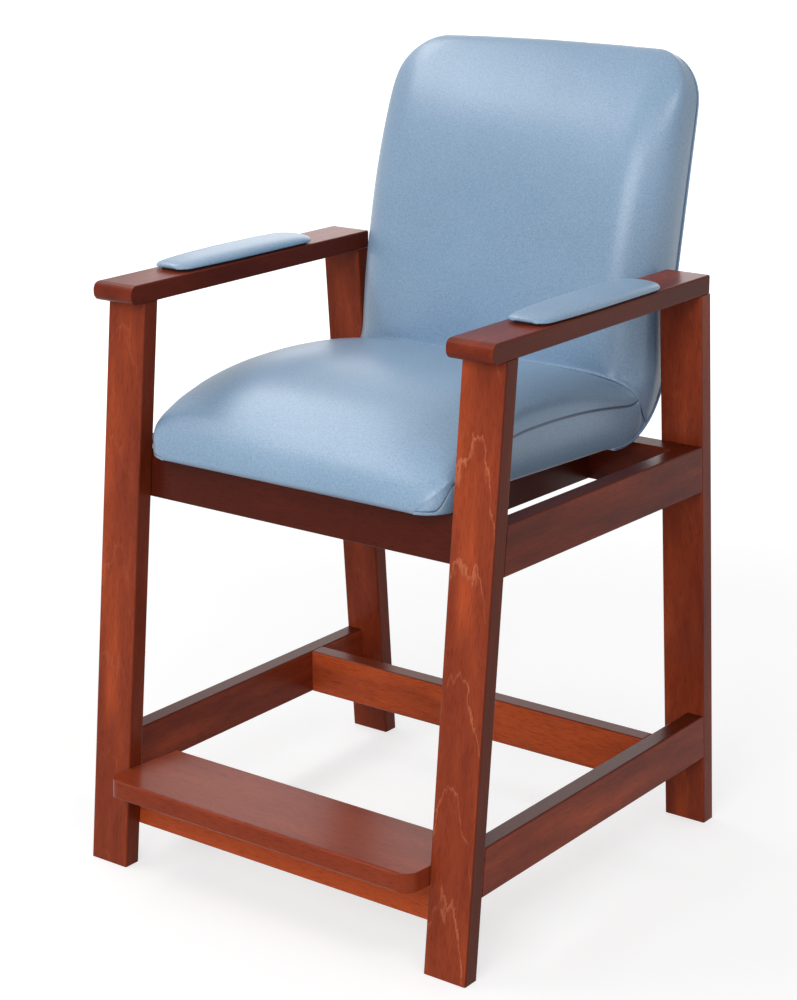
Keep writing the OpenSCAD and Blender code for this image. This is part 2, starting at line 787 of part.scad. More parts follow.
// A ring on the straight seat, share of the way from the peak to the bend
function seat_ring(share, inset, low) =
    let (run = bend_y + seat_peak_y,
         y = -seat_peak_y + run * share,
         mid_y = -seat_peak_y / 2 + (run - seat_peak_y / 2) * share,
         z = shell_under(y))
    ring([y, z], 0, cushion_half_w - inset, max(low, seat_low + inset - z),
         seat_low + seam_rise - inset - fall(y + seat_peak_y, seam_arc_r) - z,
         seat_low + crown_rise - inset - fall(mid_y + seat_peak_y / 2, crown_arc_r) - z, mid_y - y);
seat_end_side = seat_low + seam_rise - fall(bend_y + seat_peak_y, seam_arc_r) - bend_z;
seat_end_mid = seat_low + crown_rise - fall(bend_y + seat_peak_y / 2, crown_arc_r) - bend_z;

// A ring at angle a round the bend, on the seat's side of the place where the cushions meet
function bend_ring(a, inset, low) =
    let (share = a / meet_angle)
    ring(bend_point(a, bend_r), a, cushion_half_w - inset, low,
         seat_end_side + (meet_side_h - seat_end_side) * share - inset,
         seat_end_mid + (meet_mid_h - seat_end_mid) * share - inset, 0);

// Half of the slit between the two cushions, and the angle that a wall takes up there
slit_angle = soft_gap / bend_r / 2 * 180 / PI;
wall_angle = skin_t / (bend_r - meet_side_h) * 180 / PI;

nose_steps = 9;
module seat_form(inset, low, end_angle) {
    first_angle = 3;
    loft(concat(
        [for (i = [0:nose_steps]) nose_ring(max(first_angle, 90 * i / nose_steps), inset, low)],
        [for (i = [1:4]) seat_ring(i / 4, inset, low)],
        [for (i = [1:4]) bend_ring(end_angle * i / 4, inset, low)]
    ));
}

module seat_cover() {
    color(vinyl) difference() {
        seat_form(0, -skirt_h, meet_angle - slit_angle);
        seat_form(skin_t, skin_t, meet_angle - slit_angle - wall_angle);
        shell_room();
    }
}

module seat_foam() {
    color("khaki") difference() {
        seat_form(skin_t + soft_gap, skin_t, meet_angle - slit_angle - wall_angle);
        shell_room();
    }
}

// The back's side thickness and crown at l above the bend's end
back_arc_l = back_l - back_swell_l;
back_end_side = back_side_t - fall(back_swell_l, back_arc_r);
function back_ring(l, thin, inset, low) =
    let (d = back_l - inset - l,
         side_h = back_side_t - fall(max(0, back_swell_l - l), back_arc_r) - inset,
         up = min(1, l / back_swell_l),
         crown = back_crown_low + (back_crown - back_crown_low) * up)
    ring(back_point(l, 0), back_angle, corner_w(d, back_corner_r - inset, cushion_half_w - inset), low,
         low + (side_h - low) * thin, low + (side_h + crown - low) * thin, top_bow * (1 - thin));

// A ring at angle a round the bend, on the back's side of the place where the cushions meet
function low_back_ring(a, inset, low) =
    let (share = (a - meet_angle) / (back_angle - meet_angle))
    ring(bend_point(a, bend_r), a, cushion_half_w - inset, low,
         meet_side_h + (back_end_side - meet_side_h) * share - inset,
         meet_mid_h + (back_end_side + back_crown_low - meet_mid_h) * share - inset, 0);

back_steps = 9;
module back_form(inset, low, start_angle) {
    last_angle = 86;
    loft(concat(
        [for (i = [0:4]) low_back_ring(start_angle + (back_angle - start_angle) * i / 4, inset, low)],
        [for (i = [1:3]) back_ring(back_swell_l * i / 3, 1, inset, low)],
        [for (i = [1:back_steps])
            let (a = min(last_angle, 90 * i / back_steps))
            back_ring(back_swell_l + (back_arc_l - inset) * sin(a), cos(a), inset, low)]
    ));
}

module back_cover() {
    color(vinyl) difference() {
        back_form(0, -skirt_h, meet_angle + slit_angle);
        back_form(skin_t, skin_t, meet_angle + slit_angle + wall_angle);
        shell_room();
    }
}

module back_foam() {
    color("khaki") difference() {
        back_form(skin_t + soft_gap, skin_t, meet_angle + slit_angle + wall_angle);
        shell_room();
    }
}

// Half of an arm pad's width, share of the way from its front to its rear
pad_front_r = 14;
pad_rear_share = 0.8;
function pad_half(share, inset) =
    let (full = pad_front_w / 2 + (pad_w - pad_front_w) / 2 * sin(min(90, 180 * share)) - inset,
         l = pad_l - 2 * inset)
    min(corner_w(share * l, pad_front_r, full),
        corner_w((1 - share) * l, pad_rear_share * full, full));

pad_steps = 13;
pad_first_angle = 6;
function pad_angle(i) = pad_first_angle + (180 - 2 * pad_first_angle) * i / pad_steps;
function pad_share(i) = (1 - cos(pad_angle(i))) / 2;
function pad_y(share, inset) = -pad_front + inset + (pad_l - 2 * inset) * share;

// The plan of an arm pad, drawn in by inset
module pad_plan(inset) {
    edge = [for (i = [0:pad_steps]) [pad_half(pad_share(i), inset), pad_y(pad_share(i), inset)]];
    polygon(concat(edge, backwards([for (p = edge) [-p[0], p[1]]])));
}

module arm_pad_base() {
    color("dimgray") difference() {
        translate([pad_x, 0, arm_h]) linear_extrude(pad_base_t) pad_plan(pad_base_in);
        pad_screw_pair(hole_gap);
    }
}

module arm_pad() {
    end_share = 0.3;
    rise = pad_h - pad_lift;
    color(vinyl) difference() {
        translate([pad_x, 0, arm_h + pad_lift])
            loft([for (i = [0:pad_steps])
                let (share = pad_share(i), up = rise * pow(sin(pad_angle(i)), end_share))
                ring([pad_y(share, 0), 0], 0, pad_half(share, 0), 0, up / 2, up, 0)]);
        translate([pad_x, 0, arm_h])
            linear_extrude(pad_base_t + soft_gap) pad_plan(pad_base_in - soft_gap);
    }
}

module dowels() {
    color("burlywood") both_sides() children();
}

module screws() {
    color(steel) both_sides() children();
}

module footrest_screws() {
    color(steel) at_footrest_screws() screw(footrest_screw_l, 0);
}

placed() front_leg();  // front_leg_left
placed() mirrored() front_leg();  // front_leg_right
placed() rear_leg();  // rear_leg_left
placed() mirrored() rear_leg();  // rear_leg_right
placed() arm();  // arm_left
placed() mirrored() arm();  // arm_right
placed() side_rail();  // side_rail_left
placed() mirrored() side_rail();  // side_rail_right
placed() front_seat_rail();
placed() rear_seat_rail();
placed() seat_runner();  // seat_runner_left
placed() mirrored() seat_runner();  // seat_runner_right
placed() side_stretcher();  // side_stretcher_left
placed() mirrored() side_stretcher();  // side_stretcher_right
placed() rear_stretcher();
placed() front_stretcher();
placed() footrest_board();
placed() seat_shell();
placed() seat_cover();
placed() seat_foam();
placed() back_cover();
placed() back_foam();
placed() back_panel();
placed() arm_pad();  // arm_pad_left
placed() mirrored() arm_pad();  // arm_pad_right
placed() arm_pad_base();  // arm_pad_base_left
placed() mirrored() arm_pad_base();  // arm_pad_base_right
placed() dowels() arm_pins();  // arm_dowels
placed() dowels() side_rail_pins();  // side_rail_dowels
placed() dowels() cross_rail_pins();  // cross_rail_dowels
placed() dowels() runner_pins();  // runner_dowels
placed() dowels() side_stretcher_pins();  // side_stretcher_dowels
placed() dowels() rear_stretcher_pins();  // rear_stretcher_dowels
placed() dowels() footrest_pins();  // footrest_dowels
placed() screws() stretcher_screw_pair();  // front_stretcher_screws
placed() footrest_screws();
placed() screws() pad_screw_pair();  // arm_pad_screws
placed() screws() at_seat_bolts() seat_bolt();  // seat_bolts
placed() screws() at_seat_bolts() seat_insert_part();  // seat_inserts
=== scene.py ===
"""Hip chair: the looks of its stained boards, vinyl cushions, arm pads and fixings."""
import math

import bmesh
import bpy
import numpy as np
from mathutils import Euler, Matrix, Vector


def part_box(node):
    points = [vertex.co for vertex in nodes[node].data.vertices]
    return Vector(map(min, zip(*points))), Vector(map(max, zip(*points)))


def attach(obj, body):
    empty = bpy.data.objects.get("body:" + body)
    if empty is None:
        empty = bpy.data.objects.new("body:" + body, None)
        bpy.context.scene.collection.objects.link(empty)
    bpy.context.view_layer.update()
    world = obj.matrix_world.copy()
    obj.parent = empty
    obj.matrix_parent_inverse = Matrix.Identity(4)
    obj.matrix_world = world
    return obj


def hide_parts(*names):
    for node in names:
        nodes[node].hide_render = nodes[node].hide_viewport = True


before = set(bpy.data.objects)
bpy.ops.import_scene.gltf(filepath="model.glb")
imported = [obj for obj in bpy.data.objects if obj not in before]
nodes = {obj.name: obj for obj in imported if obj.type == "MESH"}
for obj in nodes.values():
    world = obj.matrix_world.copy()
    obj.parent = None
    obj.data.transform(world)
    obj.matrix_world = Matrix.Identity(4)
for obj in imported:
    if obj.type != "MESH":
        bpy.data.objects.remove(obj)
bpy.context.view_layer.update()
scene = bpy.context.scene
MM = 0.001

# Sizes of the part, in millimetres about the wooden frame's middle: the bent shell first,
# whose underside runs back from a rounded front lip, round a bend and up the back
HALF_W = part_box("seat_cover")[1].x / MM
SHELL_HALF_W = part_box("seat_shell")[1].x / MM
SHELL_T = 12.0
SHELL_FRONT = 206.0
LIP_Y = 105.0             # the lip starts to curve down here
LIP_R = 285.0
BEND_Y = 177.0            # the bend starts here
BEND_Z = 563.04
BEND_R = 96.0
SEAT_PITCH = math.radians(2.7)
BACK_ANGLE = math.radians(90 - 10.8)
GAP = 0.3                 # between the shell and the skins round it
SKIRT = 3.0               # how far the covers' sides reach past the shell's outer face

# The seat cushion: its side seam and its crown are arcs that fall away from the peak
SEAT_LOW = 562.4
SEAT_FRONT = 236.0
FRONT_BOW = 6.0
SEAT_CORNER_R = 38.0
PEAK_Y = 40.0
SEAM_RISE = 72.0
CROWN_RISE = 112.0
SEAM_ARC_R = 1280.0
CROWN_ARC_R = 760.0

# Where seat and back meet: an angle round the bend, and heights above the shell
MEET_ANGLE = math.radians(33)
MEET_SIDE = 45.0
MEET_MID = 80.0

# The back cushion: lengths run up the back from the bend
BACK_L = 414.0
SWELL_L = 150.0           # the back is thinner below this length
BACK_SIDE = 83.0
BACK_ARC_R = 940.0
CROWN_LOW = 11.0
CROWN_HIGH = 7.0
BACK_CORNER_R = 68.0
TOP_BOW = 5.0

ARM_FRONT = 234.0
MIDDLE_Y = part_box("arm_left")[0].y / MM + ARM_FRONT


def place(x, y, z):
    """A point in the scene, in metres, from millimetres about the wooden frame's middle."""
    return Vector((x, y + MIDDLE_Y, z)) * MM


# Camera, at the angle and distance of the photograph
CAMERA_TURN = math.radians(36.74)
CAMERA_RISE = math.radians(16.90)
CAMERA_ROLL = math.radians(-0.24)
CAMERA_DISTANCE = 3.0112
CAMERA_TARGET = Vector((0.0, -0.0209, 0.48716))
CAMERA_LENS = 82.91
FILM_WIDTH = 36.0


def make_camera():
    """The camera looks slightly down at the chair from its left front."""
    back = Vector((
        math.sin(CAMERA_TURN) * math.cos(CAMERA_RISE),
        -math.cos(CAMERA_TURN) * math.cos(CAMERA_RISE),
        math.sin(CAMERA_RISE),
    ))
    level = back.cross(Vector((0, 0, -1))).normalized()
    upright = back.cross(level)
    right = math.cos(CAMERA_ROLL) * level + math.sin(CAMERA_ROLL) * upright
    up = math.cos(CAMERA_ROLL) * upright - math.sin(CAMERA_ROLL) * level
    turn = Matrix((right, up, back)).transposed().to_4x4()
    data = bpy.data.cameras.new("camera")
    data.lens = CAMERA_LENS
    data.sensor_width = FILM_WIDTH
    camera = bpy.data.objects.new("camera", data)
    camera.matrix_world = Matrix.Translation(CAMERA_TARGET + back * CAMERA_DISTANCE) @ turn
    scene.collection.objects.link(camera)
    scene.camera = camera


# Colours and materials
def colour(hex_value):
    """An sRGB hex value as linear red, green and blue, with full alpha."""
    parts = [int(hex_value[i:i + 2], 16) / 255 for i in (1, 3, 5)]
    linear = [p / 12.92 if p <= 0.04045 else ((p + 0.055) / 1.055) ** 2.4 for p in parts]
    return (*linear, 1.0)


def add_node(tree, kind, inputs=None, stops=(), **settings):
    """Adds a node. Each input is a value, or the output socket that feeds it. The stops are the
    places and colours on a colour ramp."""
    node = tree.nodes.new(kind)
    for name, value in settings.items():
        setattr(node, name, value)
    for name, value in (inputs or {}).items():
        if isinstance(value, bpy.types.NodeSocket):
            tree.links.new(value, node.inputs[name])
        else:
            node.inputs[name].default_value = value
    if stops:
        band = node.color_ramp.elements
        while len(band) < len(stops):
            band.new(0.5)
        for element, (position, hex_value) in zip(band, stops):
            element.position = position
            element.color = colour(hex_value)
    return node


def new_material(name):
    """A material with one Principled shader, and its node tree."""
    material = bpy.data.materials.new(name)
    material.use_nodes = True
    return material, material.node_tree, material.node_tree.nodes["Principled BSDF"]


# Stained and lacquered beech boards. The sprayed red-brown stain drifts slowly along the
# board and lies darker along the pores. Painted shade darkens the faces that light reaches
# less: the side faces, and the tops of the boards under the seat. A few growth rings show as
# paler, jagged arches. The thin sprayed lacquer is satin: it mirrors pale things faintly, and
# more so at a low angle.
PORE_WIDTH = 1.3 * MM          # real pores are about 0.1 mm wide: drawn coarse to show
PORE_LENGTH = 14 * MM
RING_SPACING = 7 * MM          # real rings are about 3 mm apart: drawn coarse to show
RING_LEAN = math.radians(-9.5)
RING_STRETCH = 0.3             # how much slower a ring's jags are along the grain
HEART_DISTANCE = 150 * MM      # from the board's middle to the middle of the tree
HEART_ASIDE = 6 * MM
WAVE_LENGTH = math.pi / 10     # of a wave texture at scale 1
CUT_STEP = 230 * MM            # how far each board's cut is from the one before
TONE_LENGTH = 230 * MM
TONE_WIDTH = 42 * MM
EDGE_ROUND = 1.6 * MM          # sanded edges that catch the light
FRONT_SPLAY = math.radians(5.8)
REAR_SPLAY = math.radians(4.5)
RIGHT_ANGLE = math.radians(90)


def stained_wood(board, turn, offset, tone, patchy, shade_facing, depth, figure):
    """Lacquered beech. The turn brings the grain to local Z, and the offset places the board in
    its tree. Tone is how light the stain is, patchy how unevenly it lies, depth how much painted
    shade darkens the faces that look along the given direction, and figure how strongly rings
    show."""
    material, tree, shader = new_material("stained_lacquered_beech_" + board)
    spot = add_node(tree, "ShaderNodeTexCoord").outputs["Object"]
    moved = add_node(tree, "ShaderNodeMapping", {
        "Vector": spot, "Location": offset, "Rotation": turn}).outputs["Vector"]
    broad = add_node(tree, "ShaderNodeMapping", {
        "Vector": moved, "Scale": (1 / TONE_WIDTH, 1 / TONE_WIDTH, 1 / TONE_LENGTH)})
    drift = add_node(tree, "ShaderNodeTexNoise", {
        "Vector": broad.outputs["Vector"], "Scale": 1.0, "Detail": 3.0, "Roughness": 0.55})
    shift = add_node(tree, "ShaderNodeMapRange", {
        "Value": drift.outputs["Fac"], "To Min": tone - patchy, "To Max": tone + patchy})
    stain = add_node(tree, "ShaderNodeValToRGB", {"Fac": shift.outputs["Result"]}, [
        (0.16, "#561F12"), (0.38, "#762D1A"), (0.62, "#964026"), (0.95, "#CC5B30")])
    leaned = add_node(tree, "ShaderNodeMapping", {
        "Vector": moved, "Scale": (1, 1, RING_STRETCH), "Rotation": (RING_LEAN, 0, 0)})
    rings = add_node(tree, "ShaderNodeTexWave", {
        "Vector": leaned.outputs["Vector"], "Scale": WAVE_LENGTH / RING_SPACING,
        "Distortion": 3.6, "Detail": 4.0, "Detail Scale": 0.9, "Detail Roughness": 0.62},
        wave_type="RINGS", rings_direction="Z", wave_profile="SAW")
    arches = add_node(tree, "ShaderNodeMapRange", {
        "Value": rings.outputs["Fac"], "From Min": 0.92, "From Max": 0.98, "To Max": figure})
    strength = add_node(tree, "ShaderNodeMapRange", {
        "Value": drift.outputs["Fac"], "From Min": 0.38, "From Max": 0.56})
    shown = add_node(tree, "ShaderNodeMath", {
        0: arches.outputs["Result"], 1: strength.outputs["Result"]}, operation="MULTIPLY")
    arched = add_node(tree, "ShaderNodeMix", {
        "Factor": shown.outputs["Value"], 6: stain.outputs["Color"],
        7: colour("#C26E4E")}, data_type="RGBA")
    fine = add_node(tree, "ShaderNodeMapping", {
        "Vector": moved, "Scale": (1 / PORE_WIDTH, 1 / PORE_WIDTH, 1 / PORE_LENGTH)})
    pores = add_node(tree, "ShaderNodeTexNoise", {
        "Vector": fine.outputs["Vector"], "Scale": 1.0, "Detail": 2.0, "Roughness": 0.6})
    shade = add_node(tree, "ShaderNodeValToRGB", {"Fac": pores.outputs["Fac"]}, [
        (0.30, "#C9BEB8"), (0.46, "#F4EFEC"), (0.70, "#FFFFFF")])
    pored = add_node(tree, "ShaderNodeMix", {
        "Factor": 0.8, 6: arched.outputs[2], 7: shade.outputs["Color"]}, data_type="RGBA",
        blend_type="MULTIPLY")
    facing = add_node(tree, "ShaderNodeTexCoord").outputs["Normal"]
    across = add_node(tree, "ShaderNodeVectorMath", {0: facing, 1: shade_facing},
                      operation="DOT_PRODUCT")
    side = add_node(tree, "ShaderNodeMath", {0: across.outputs["Value"]}, operation="ABSOLUTE")
    # Painted shade: faces that look along the given direction are mixed towards a deep brown, by
    # up to depth.
    painted_shade_share = add_node(tree, "ShaderNodeMapRange", {
        "Value": side.outputs["Value"], "From Min": 0.3, "From Max": 0.9, "To Max": depth})
    shaded_stain = add_node(tree, "ShaderNodeMix", {
        "Factor": painted_shade_share.outputs["Result"], 6: pored.outputs[2], 7: colour("#47170A")},
        data_type="RGBA")
    tree.links.new(shaded_stain.outputs[2], shader.inputs["Base Color"])
    rough = add_node(tree, "ShaderNodeMapRange", {
        "Value": pores.outputs["Fac"], "To Min": 0.36, "To Max": 0.24})
    tree.links.new(rough.outputs["Result"], shader.inputs["Roughness"])
    eased = add_node(tree, "ShaderNodeBevel", {"Radius": EDGE_ROUND}, samples=6)
    bump = add_node(tree, "ShaderNodeBump", {
        "Height": pores.outputs["Fac"], "Strength": 0.05, "Distance": 0.3 * MM,
        "Normal": eased.outputs["Normal"]})
    tree.links.new(bump.outputs["Normal"], shader.inputs["Normal"])
    shader.inputs["IOR"].default_value = 1.5
    shader.inputs["Specular IOR Level"].default_value = 0.09
    return material


# PVC upholstery vinyl, embossed by a patterned roller: a soft pebble grain that breaks up
# the light, fine flecks of two blues, and a broad satin sheen
PEBBLE = 2.6 * MM              # a real pebble is about 0.8 mm: drawn coarse to show
FLECK = 2.2 * MM
CLOUD = 140 * MM


def upholstery_vinyl(name, pale, deep):
    """Embossed upholstery vinyl, from its deep to its pale tone."""
    material, tree, shader = new_material(name)
    spot = add_node(tree, "ShaderNodeTexCoord").outputs["Object"]
    cloud = add_node(tree, "ShaderNodeTexNoise", {
        "Vector": spot, "Scale": 1 / CLOUD, "Detail": 2.0})
    fleck = add_node(tree, "ShaderNodeTexNoise", {
        "Vector": spot, "Scale": 1 / FLECK, "Detail": 2.0, "Roughness": 0.7})
    both = add_node(tree, "ShaderNodeMix", {
        "Factor": 0.75, 2: cloud.outputs["Fac"], 3: fleck.outputs["Fac"]}, data_type="FLOAT")
    tint = add_node(tree, "ShaderNodeValToRGB", {"Fac": both.outputs[0]}, [
        (0.36, deep), (0.64, pale)])
    tree.links.new(tint.outputs["Color"], shader.inputs["Base Color"])
    pebble = add_node(tree, "ShaderNodeTexVoronoi", {
        "Vector": spot, "Scale": 1 / PEBBLE, "Randomness": 0.9},
        feature="SMOOTH_F1")
    bump = add_node(tree, "ShaderNodeBump", {
        "Height": pebble.outputs["Distance"], "Strength": 0.30, "Distance": 0.35 * MM},
        invert=True)
    tree.links.new(bump.outputs["Normal"], shader.inputs["Normal"])
    rough = add_node(tree, "ShaderNodeMapRange", {
        "Value": fleck.outputs["Fac"], "To Min": 0.37, "To Max": 0.30})
    tree.links.new(rough.outputs["Result"], shader.inputs["Roughness"])
    shader.inputs["IOR"].default_value = 1.5
    shader.inputs["Specular IOR Level"].default_value = 0.6
    shader.inputs["Sheen Weight"].default_value = 0.06
    shader.inputs["Sheen Roughness"].default_value = 0.5
    return material


# Birch plywood, its veneers peeled off the log by a rotary cut: a pale face with long, wavy
# grain, matt because it is left bare
VENEER_LENGTH = 90 * MM
VENEER_WIDTH = 7 * MM


def birch_plywood():
    """The face veneer of the bent shell."""
    material, tree, shader = new_material("rotary_cut_birch_plywood")
    spot = add_node(tree, "ShaderNodeTexCoord").outputs["Object"]
    stretched = add_node(tree, "ShaderNodeMapping", {
        "Vector": spot, "Scale": (1 / VENEER_LENGTH, 1 / VENEER_WIDTH, 1 / VENEER_WIDTH)})
    grain = add_node(tree, "ShaderNodeTexNoise", {
        "Vector": stretched.outputs["Vector"], "Scale": 1.0, "Detail": 4.0, "Distortion": 0.8})
    tint = add_node(tree, "ShaderNodeValToRGB", {"Fac": grain.outputs["Fac"]}, [
        (0.30, "#B08A5C"), (0.55, "#CDAE7F"), (0.75, "#D9BF94")])
    tree.links.new(tint.outputs["Color"], shader.inputs["Base Color"])
    shader.inputs["Roughness"].default_value = 0.6
    return material


# Beech dowels, turned and fluted and left bare: pale and matt, with fine flecks
DOWEL_FLECK = 2 * MM


def beech_dowel():
    """Pale beech with fine flecks along the dowel."""
    material, tree, shader = new_material("turned_beech_dowel")
    spot = add_node(tree, "ShaderNodeTexCoord").outputs["Object"]
    grain = add_node(tree, "ShaderNodeTexNoise", {
        "Vector": spot, "Scale": 1 / DOWEL_FLECK, "Detail": 2.0})
    tint = add_node(tree, "ShaderNodeValToRGB", {"Fac": grain.outputs["Fac"]}, [
        (0.35, "#C29A6B"), (0.65, "#D8B78A")])
    tree.links.new(tint.outputs["Color"], shader.inputs["Base Color"])
    shader.inputs["Roughness"].default_value = 0.65
    return material


# Steel screws and bolts, plated with zinc: bright metal with a faint mottle
ZINC_MOTTLE = 1.5 * MM


def zinc_steel():
    """Screws, bolts and threaded inserts."""
    material, tree, shader = new_material("zinc_plated_steel")
    spot = add_node(tree, "ShaderNodeTexCoord").outputs["Object"]
    mottle = add_node(tree, "ShaderNodeTexNoise", {
        "Vector": spot, "Scale": 1 / ZINC_MOTTLE, "Detail": 2.0})
    tint = add_node(tree, "ShaderNodeValToRGB", {"Fac": mottle.outputs["Fac"]}, [
        (0.3, "#A9ADB0"), (0.7, "#C9CCCE")])
    tree.links.new(tint.outputs["Color"], shader.inputs["Base Color"])
    shader.inputs["Metallic"].default_value = 1.0
    rough = add_node(tree, "ShaderNodeMapRange", {
        "Value": mottle.outputs["Fac"], "To Min": 0.25, "To Max": 0.42})
    tree.links.new(rough.outputs["Result"], shader.inputs["Roughness"])
    return material


# Hardboard under each arm pad, rolled with thin black paint: matt, with faint fibres
FIBRE = 1.2 * MM


def painted_board():
    """The thin board that carries an arm pad."""
    material, tree, shader = new_material("painted_hardboard")
    spot = add_node(tree, "ShaderNodeTexCoord").outputs["Object"]
    fibre = add_node(tree, "ShaderNodeTexNoise", {
        "Vector": spot, "Scale": 1 / FIBRE, "Detail": 3.0})
    tint = add_node(tree, "ShaderNodeValToRGB", {"Fac": fibre.outputs["Fac"]}, [
        (0.35, "#1C1613"), (0.65, "#2E2622")])
    tree.links.new(tint.outputs["Color"], shader.inputs["Base Color"])
    shader.inputs["Roughness"].default_value = 0.75
    return material


def finish_frame():
    """Gives every board its own cut of wood, and the inner pieces their finish."""
    front_lean = (FRONT_SPLAY, 0, 0)
    rear_lean = (-REAR_SPLAY, 0, 0)
    along_y = (RIGHT_ANGLE, 0, 0)
    along_x = (0, RIGHT_ANGLE, 0)
    # The faces that get painted shade look along one of these: the sides, or up for the tops.
    sides = (1, 0, 0)
    top = (0, 0, 1)
    # turn, tone, patchy, faces given painted shade, depth of painted shade, figure
    boards = {
        "front_leg_left": (front_lean, 0.60, 0.42, sides, 0.68, 0.90),
        "front_leg_right": (front_lean, 0.60, 0.42, sides, 0.45, 0.25),
        "rear_leg": (rear_lean, 0.56, 0.42, sides, 0.20, 0.12),
        "arm": (along_y, 0.40, 0.30, sides, 0.60, 0.10),
        "side_rail": (along_y, 0.36, 0.42, top, 0.90, 0.15),
        "seat_runner": (along_y, 0.22, 0.42, sides, 0.30, 0.0),
        "side_stretcher": (along_y, 0.58, 0.42, top, 0.90, 0.20),
        # Painted shade: the front rail's stain is set very dark for the shade under the
        # cushion's front.
        "front_seat_rail": (along_x, 0.14, 0.30, top, 0.80, 0.0),
        "rear_seat_rail": (along_x, 0.22, 0.42, top, 0.60, 0.0),
        "rear_stretcher": (along_x, 0.88, 0.42, top, 0.85, 0.20),
        # Painted light: the front stretcher's stain is set lighter than the ramp's end, for
        # light the footrest keeps off it.
        "front_stretcher": (along_x, 1.20, 0.42, top, 0.80, 0.0),
        "footrest_board": (along_x, 0.60, 0.16, sides, 0.0, 0.0),
    }
    count = 0
    for kind, (turn, tone, patchy, shade_facing, depth, figure) in boards.items():
        for node in (kind, kind + "_left", kind + "_right"):
            if node in nodes:
                count += 1
                low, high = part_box(node)
                middle = Euler(turn).to_matrix() @ ((low + high) / 2)
                offset = Vector((HEART_ASIDE, HEART_DISTANCE, CUT_STEP * count)) - middle
                wood = stained_wood(node, turn, offset, tone, patchy, shade_facing, depth, figure)
                dress(nodes[node], wood)
    dowel = beech_dowel()
    steel = zinc_steel()
    board = painted_board()
    dress(nodes["seat_shell"], birch_plywood())
    for name, node in nodes.items():
        if name.endswith("dowels"):
            dress(node, dowel)
        if name.endswith(("screws", "bolts", "inserts")):
            dress(node, steel)
        if name.startswith("arm_pad_base"):
            dress(node, board)


def dress(piece, material):
    """Puts one material on every face of a piece."""
    piece.data.materials.clear()
    piece.data.materials.append(material)


# Closed skins through sections. A section is a pair of lines with as many points: the outer
# one over the top, and the inner one below it or round what the piece sits on.
def skin(name, sections, material):
    """A closed mesh through sections, shut at both ends."""
    mesh = bmesh.new()
    rows = [[mesh.verts.new(p) for p in outer + inner[::-1]] for outer, inner in sections]
    count = len(rows[0])
    for row, after in zip(rows, rows[1:]):
        for i in range(count):
            k = (i + 1) % count
            mesh.faces.new((row[i], row[k], after[k], after[i]))
    for row in (rows[0], rows[-1]):
        for i in range(count // 2 - 1):
            mesh.faces.new((row[i], row[i + 1], row[count - 2 - i], row[count - 1 - i]))
    bmesh.ops.recalc_face_normals(mesh, faces=mesh.faces)
    for face in mesh.faces:
        face.smooth = True
    data = bpy.data.meshes.new(name)
    mesh.to_mesh(data)
    mesh.free()
    piece = bpy.data.objects.new(name, data)
    scene.collection.objects.link(piece)
    dress(piece, material)
    return piece


def paint_seam_shade(piece, sections, columns, ends, material):
    """Puts a darker vinyl on some columns of a skin's faces, and on its first or last row:
    painted shade in the seam grooves and where seat and back meet.
    """
    piece.data.materials.append(material)
    count = 2 * len(sections[0][0])
    rows = len(sections) - 1
    faces = piece.data.polygons
    for row in range(rows):
        for column in columns:
            faces[row * count + column].material_index = 1
    for row in ends:
        for column in range(count // 2 - 1):
            faces[(row % rows) * count + column].material_index = 1


def round_off(piece):
    """Subdivides a piece smoothly, once."""
    modifier = piece.modifiers.new("smooth", "SUBSURF")
    modifier.levels = 1
    modifier.render_levels = 1


def crown_share(share, power):
    """How far a crown has risen at a share of its half width: 0 at the side, 1 in the middle."""
    return math.sqrt(max(0.0, 1.0 - share ** power))


def corner_width(depth, radius, width):
    """Half width at a depth behind a rounded corner."""
    if depth >= radius:
        return width
    return width - radius + math.sqrt(max(0.0, radius ** 2 - (radius - depth) ** 2))


def fall(distance, radius):
    """How far a long arc has fallen at a distance from its top."""
    return distance ** 2 / (2 * radius)


def shell_under(y):
    """Height of the shell's underside, with its downward lip in front."""
    if y >= -LIP_Y:
        return BEND_Z + (BEND_Y - y) * math.tan(SEAT_PITCH)
    lip_y = -LIP_Y - LIP_R * math.sin(SEAT_PITCH)
    lip_z = BEND_Z + (BEND_Y + LIP_Y) * math.tan(SEAT_PITCH) - LIP_R * math.cos(SEAT_PITCH)
    across = max(y, -SHELL_FRONT) - lip_y
    return lip_z + math.sqrt(LIP_R ** 2 - across ** 2)


BEND_CY = BEND_Y + BEND_R * math.sin(SEAT_PITCH)
BEND_CZ = BEND_Z + BEND_R * math.cos(SEAT_PITCH)


def bend_point(angle, radius=BEND_R):
    """A point (y, z) round the shell's bend, on its underside unless radius says otherwise."""
    return BEND_CY + radius * math.sin(angle), BEND_CZ - radius * math.cos(angle)


def back_point(length):
    """A point (y, z) on the shell's rear face, this far up the back from the bend."""
    y, z = bend_point(BACK_ANGLE)
    return y + length * math.cos(BACK_ANGLE), z + length * math.sin(BACK_ANGLE)


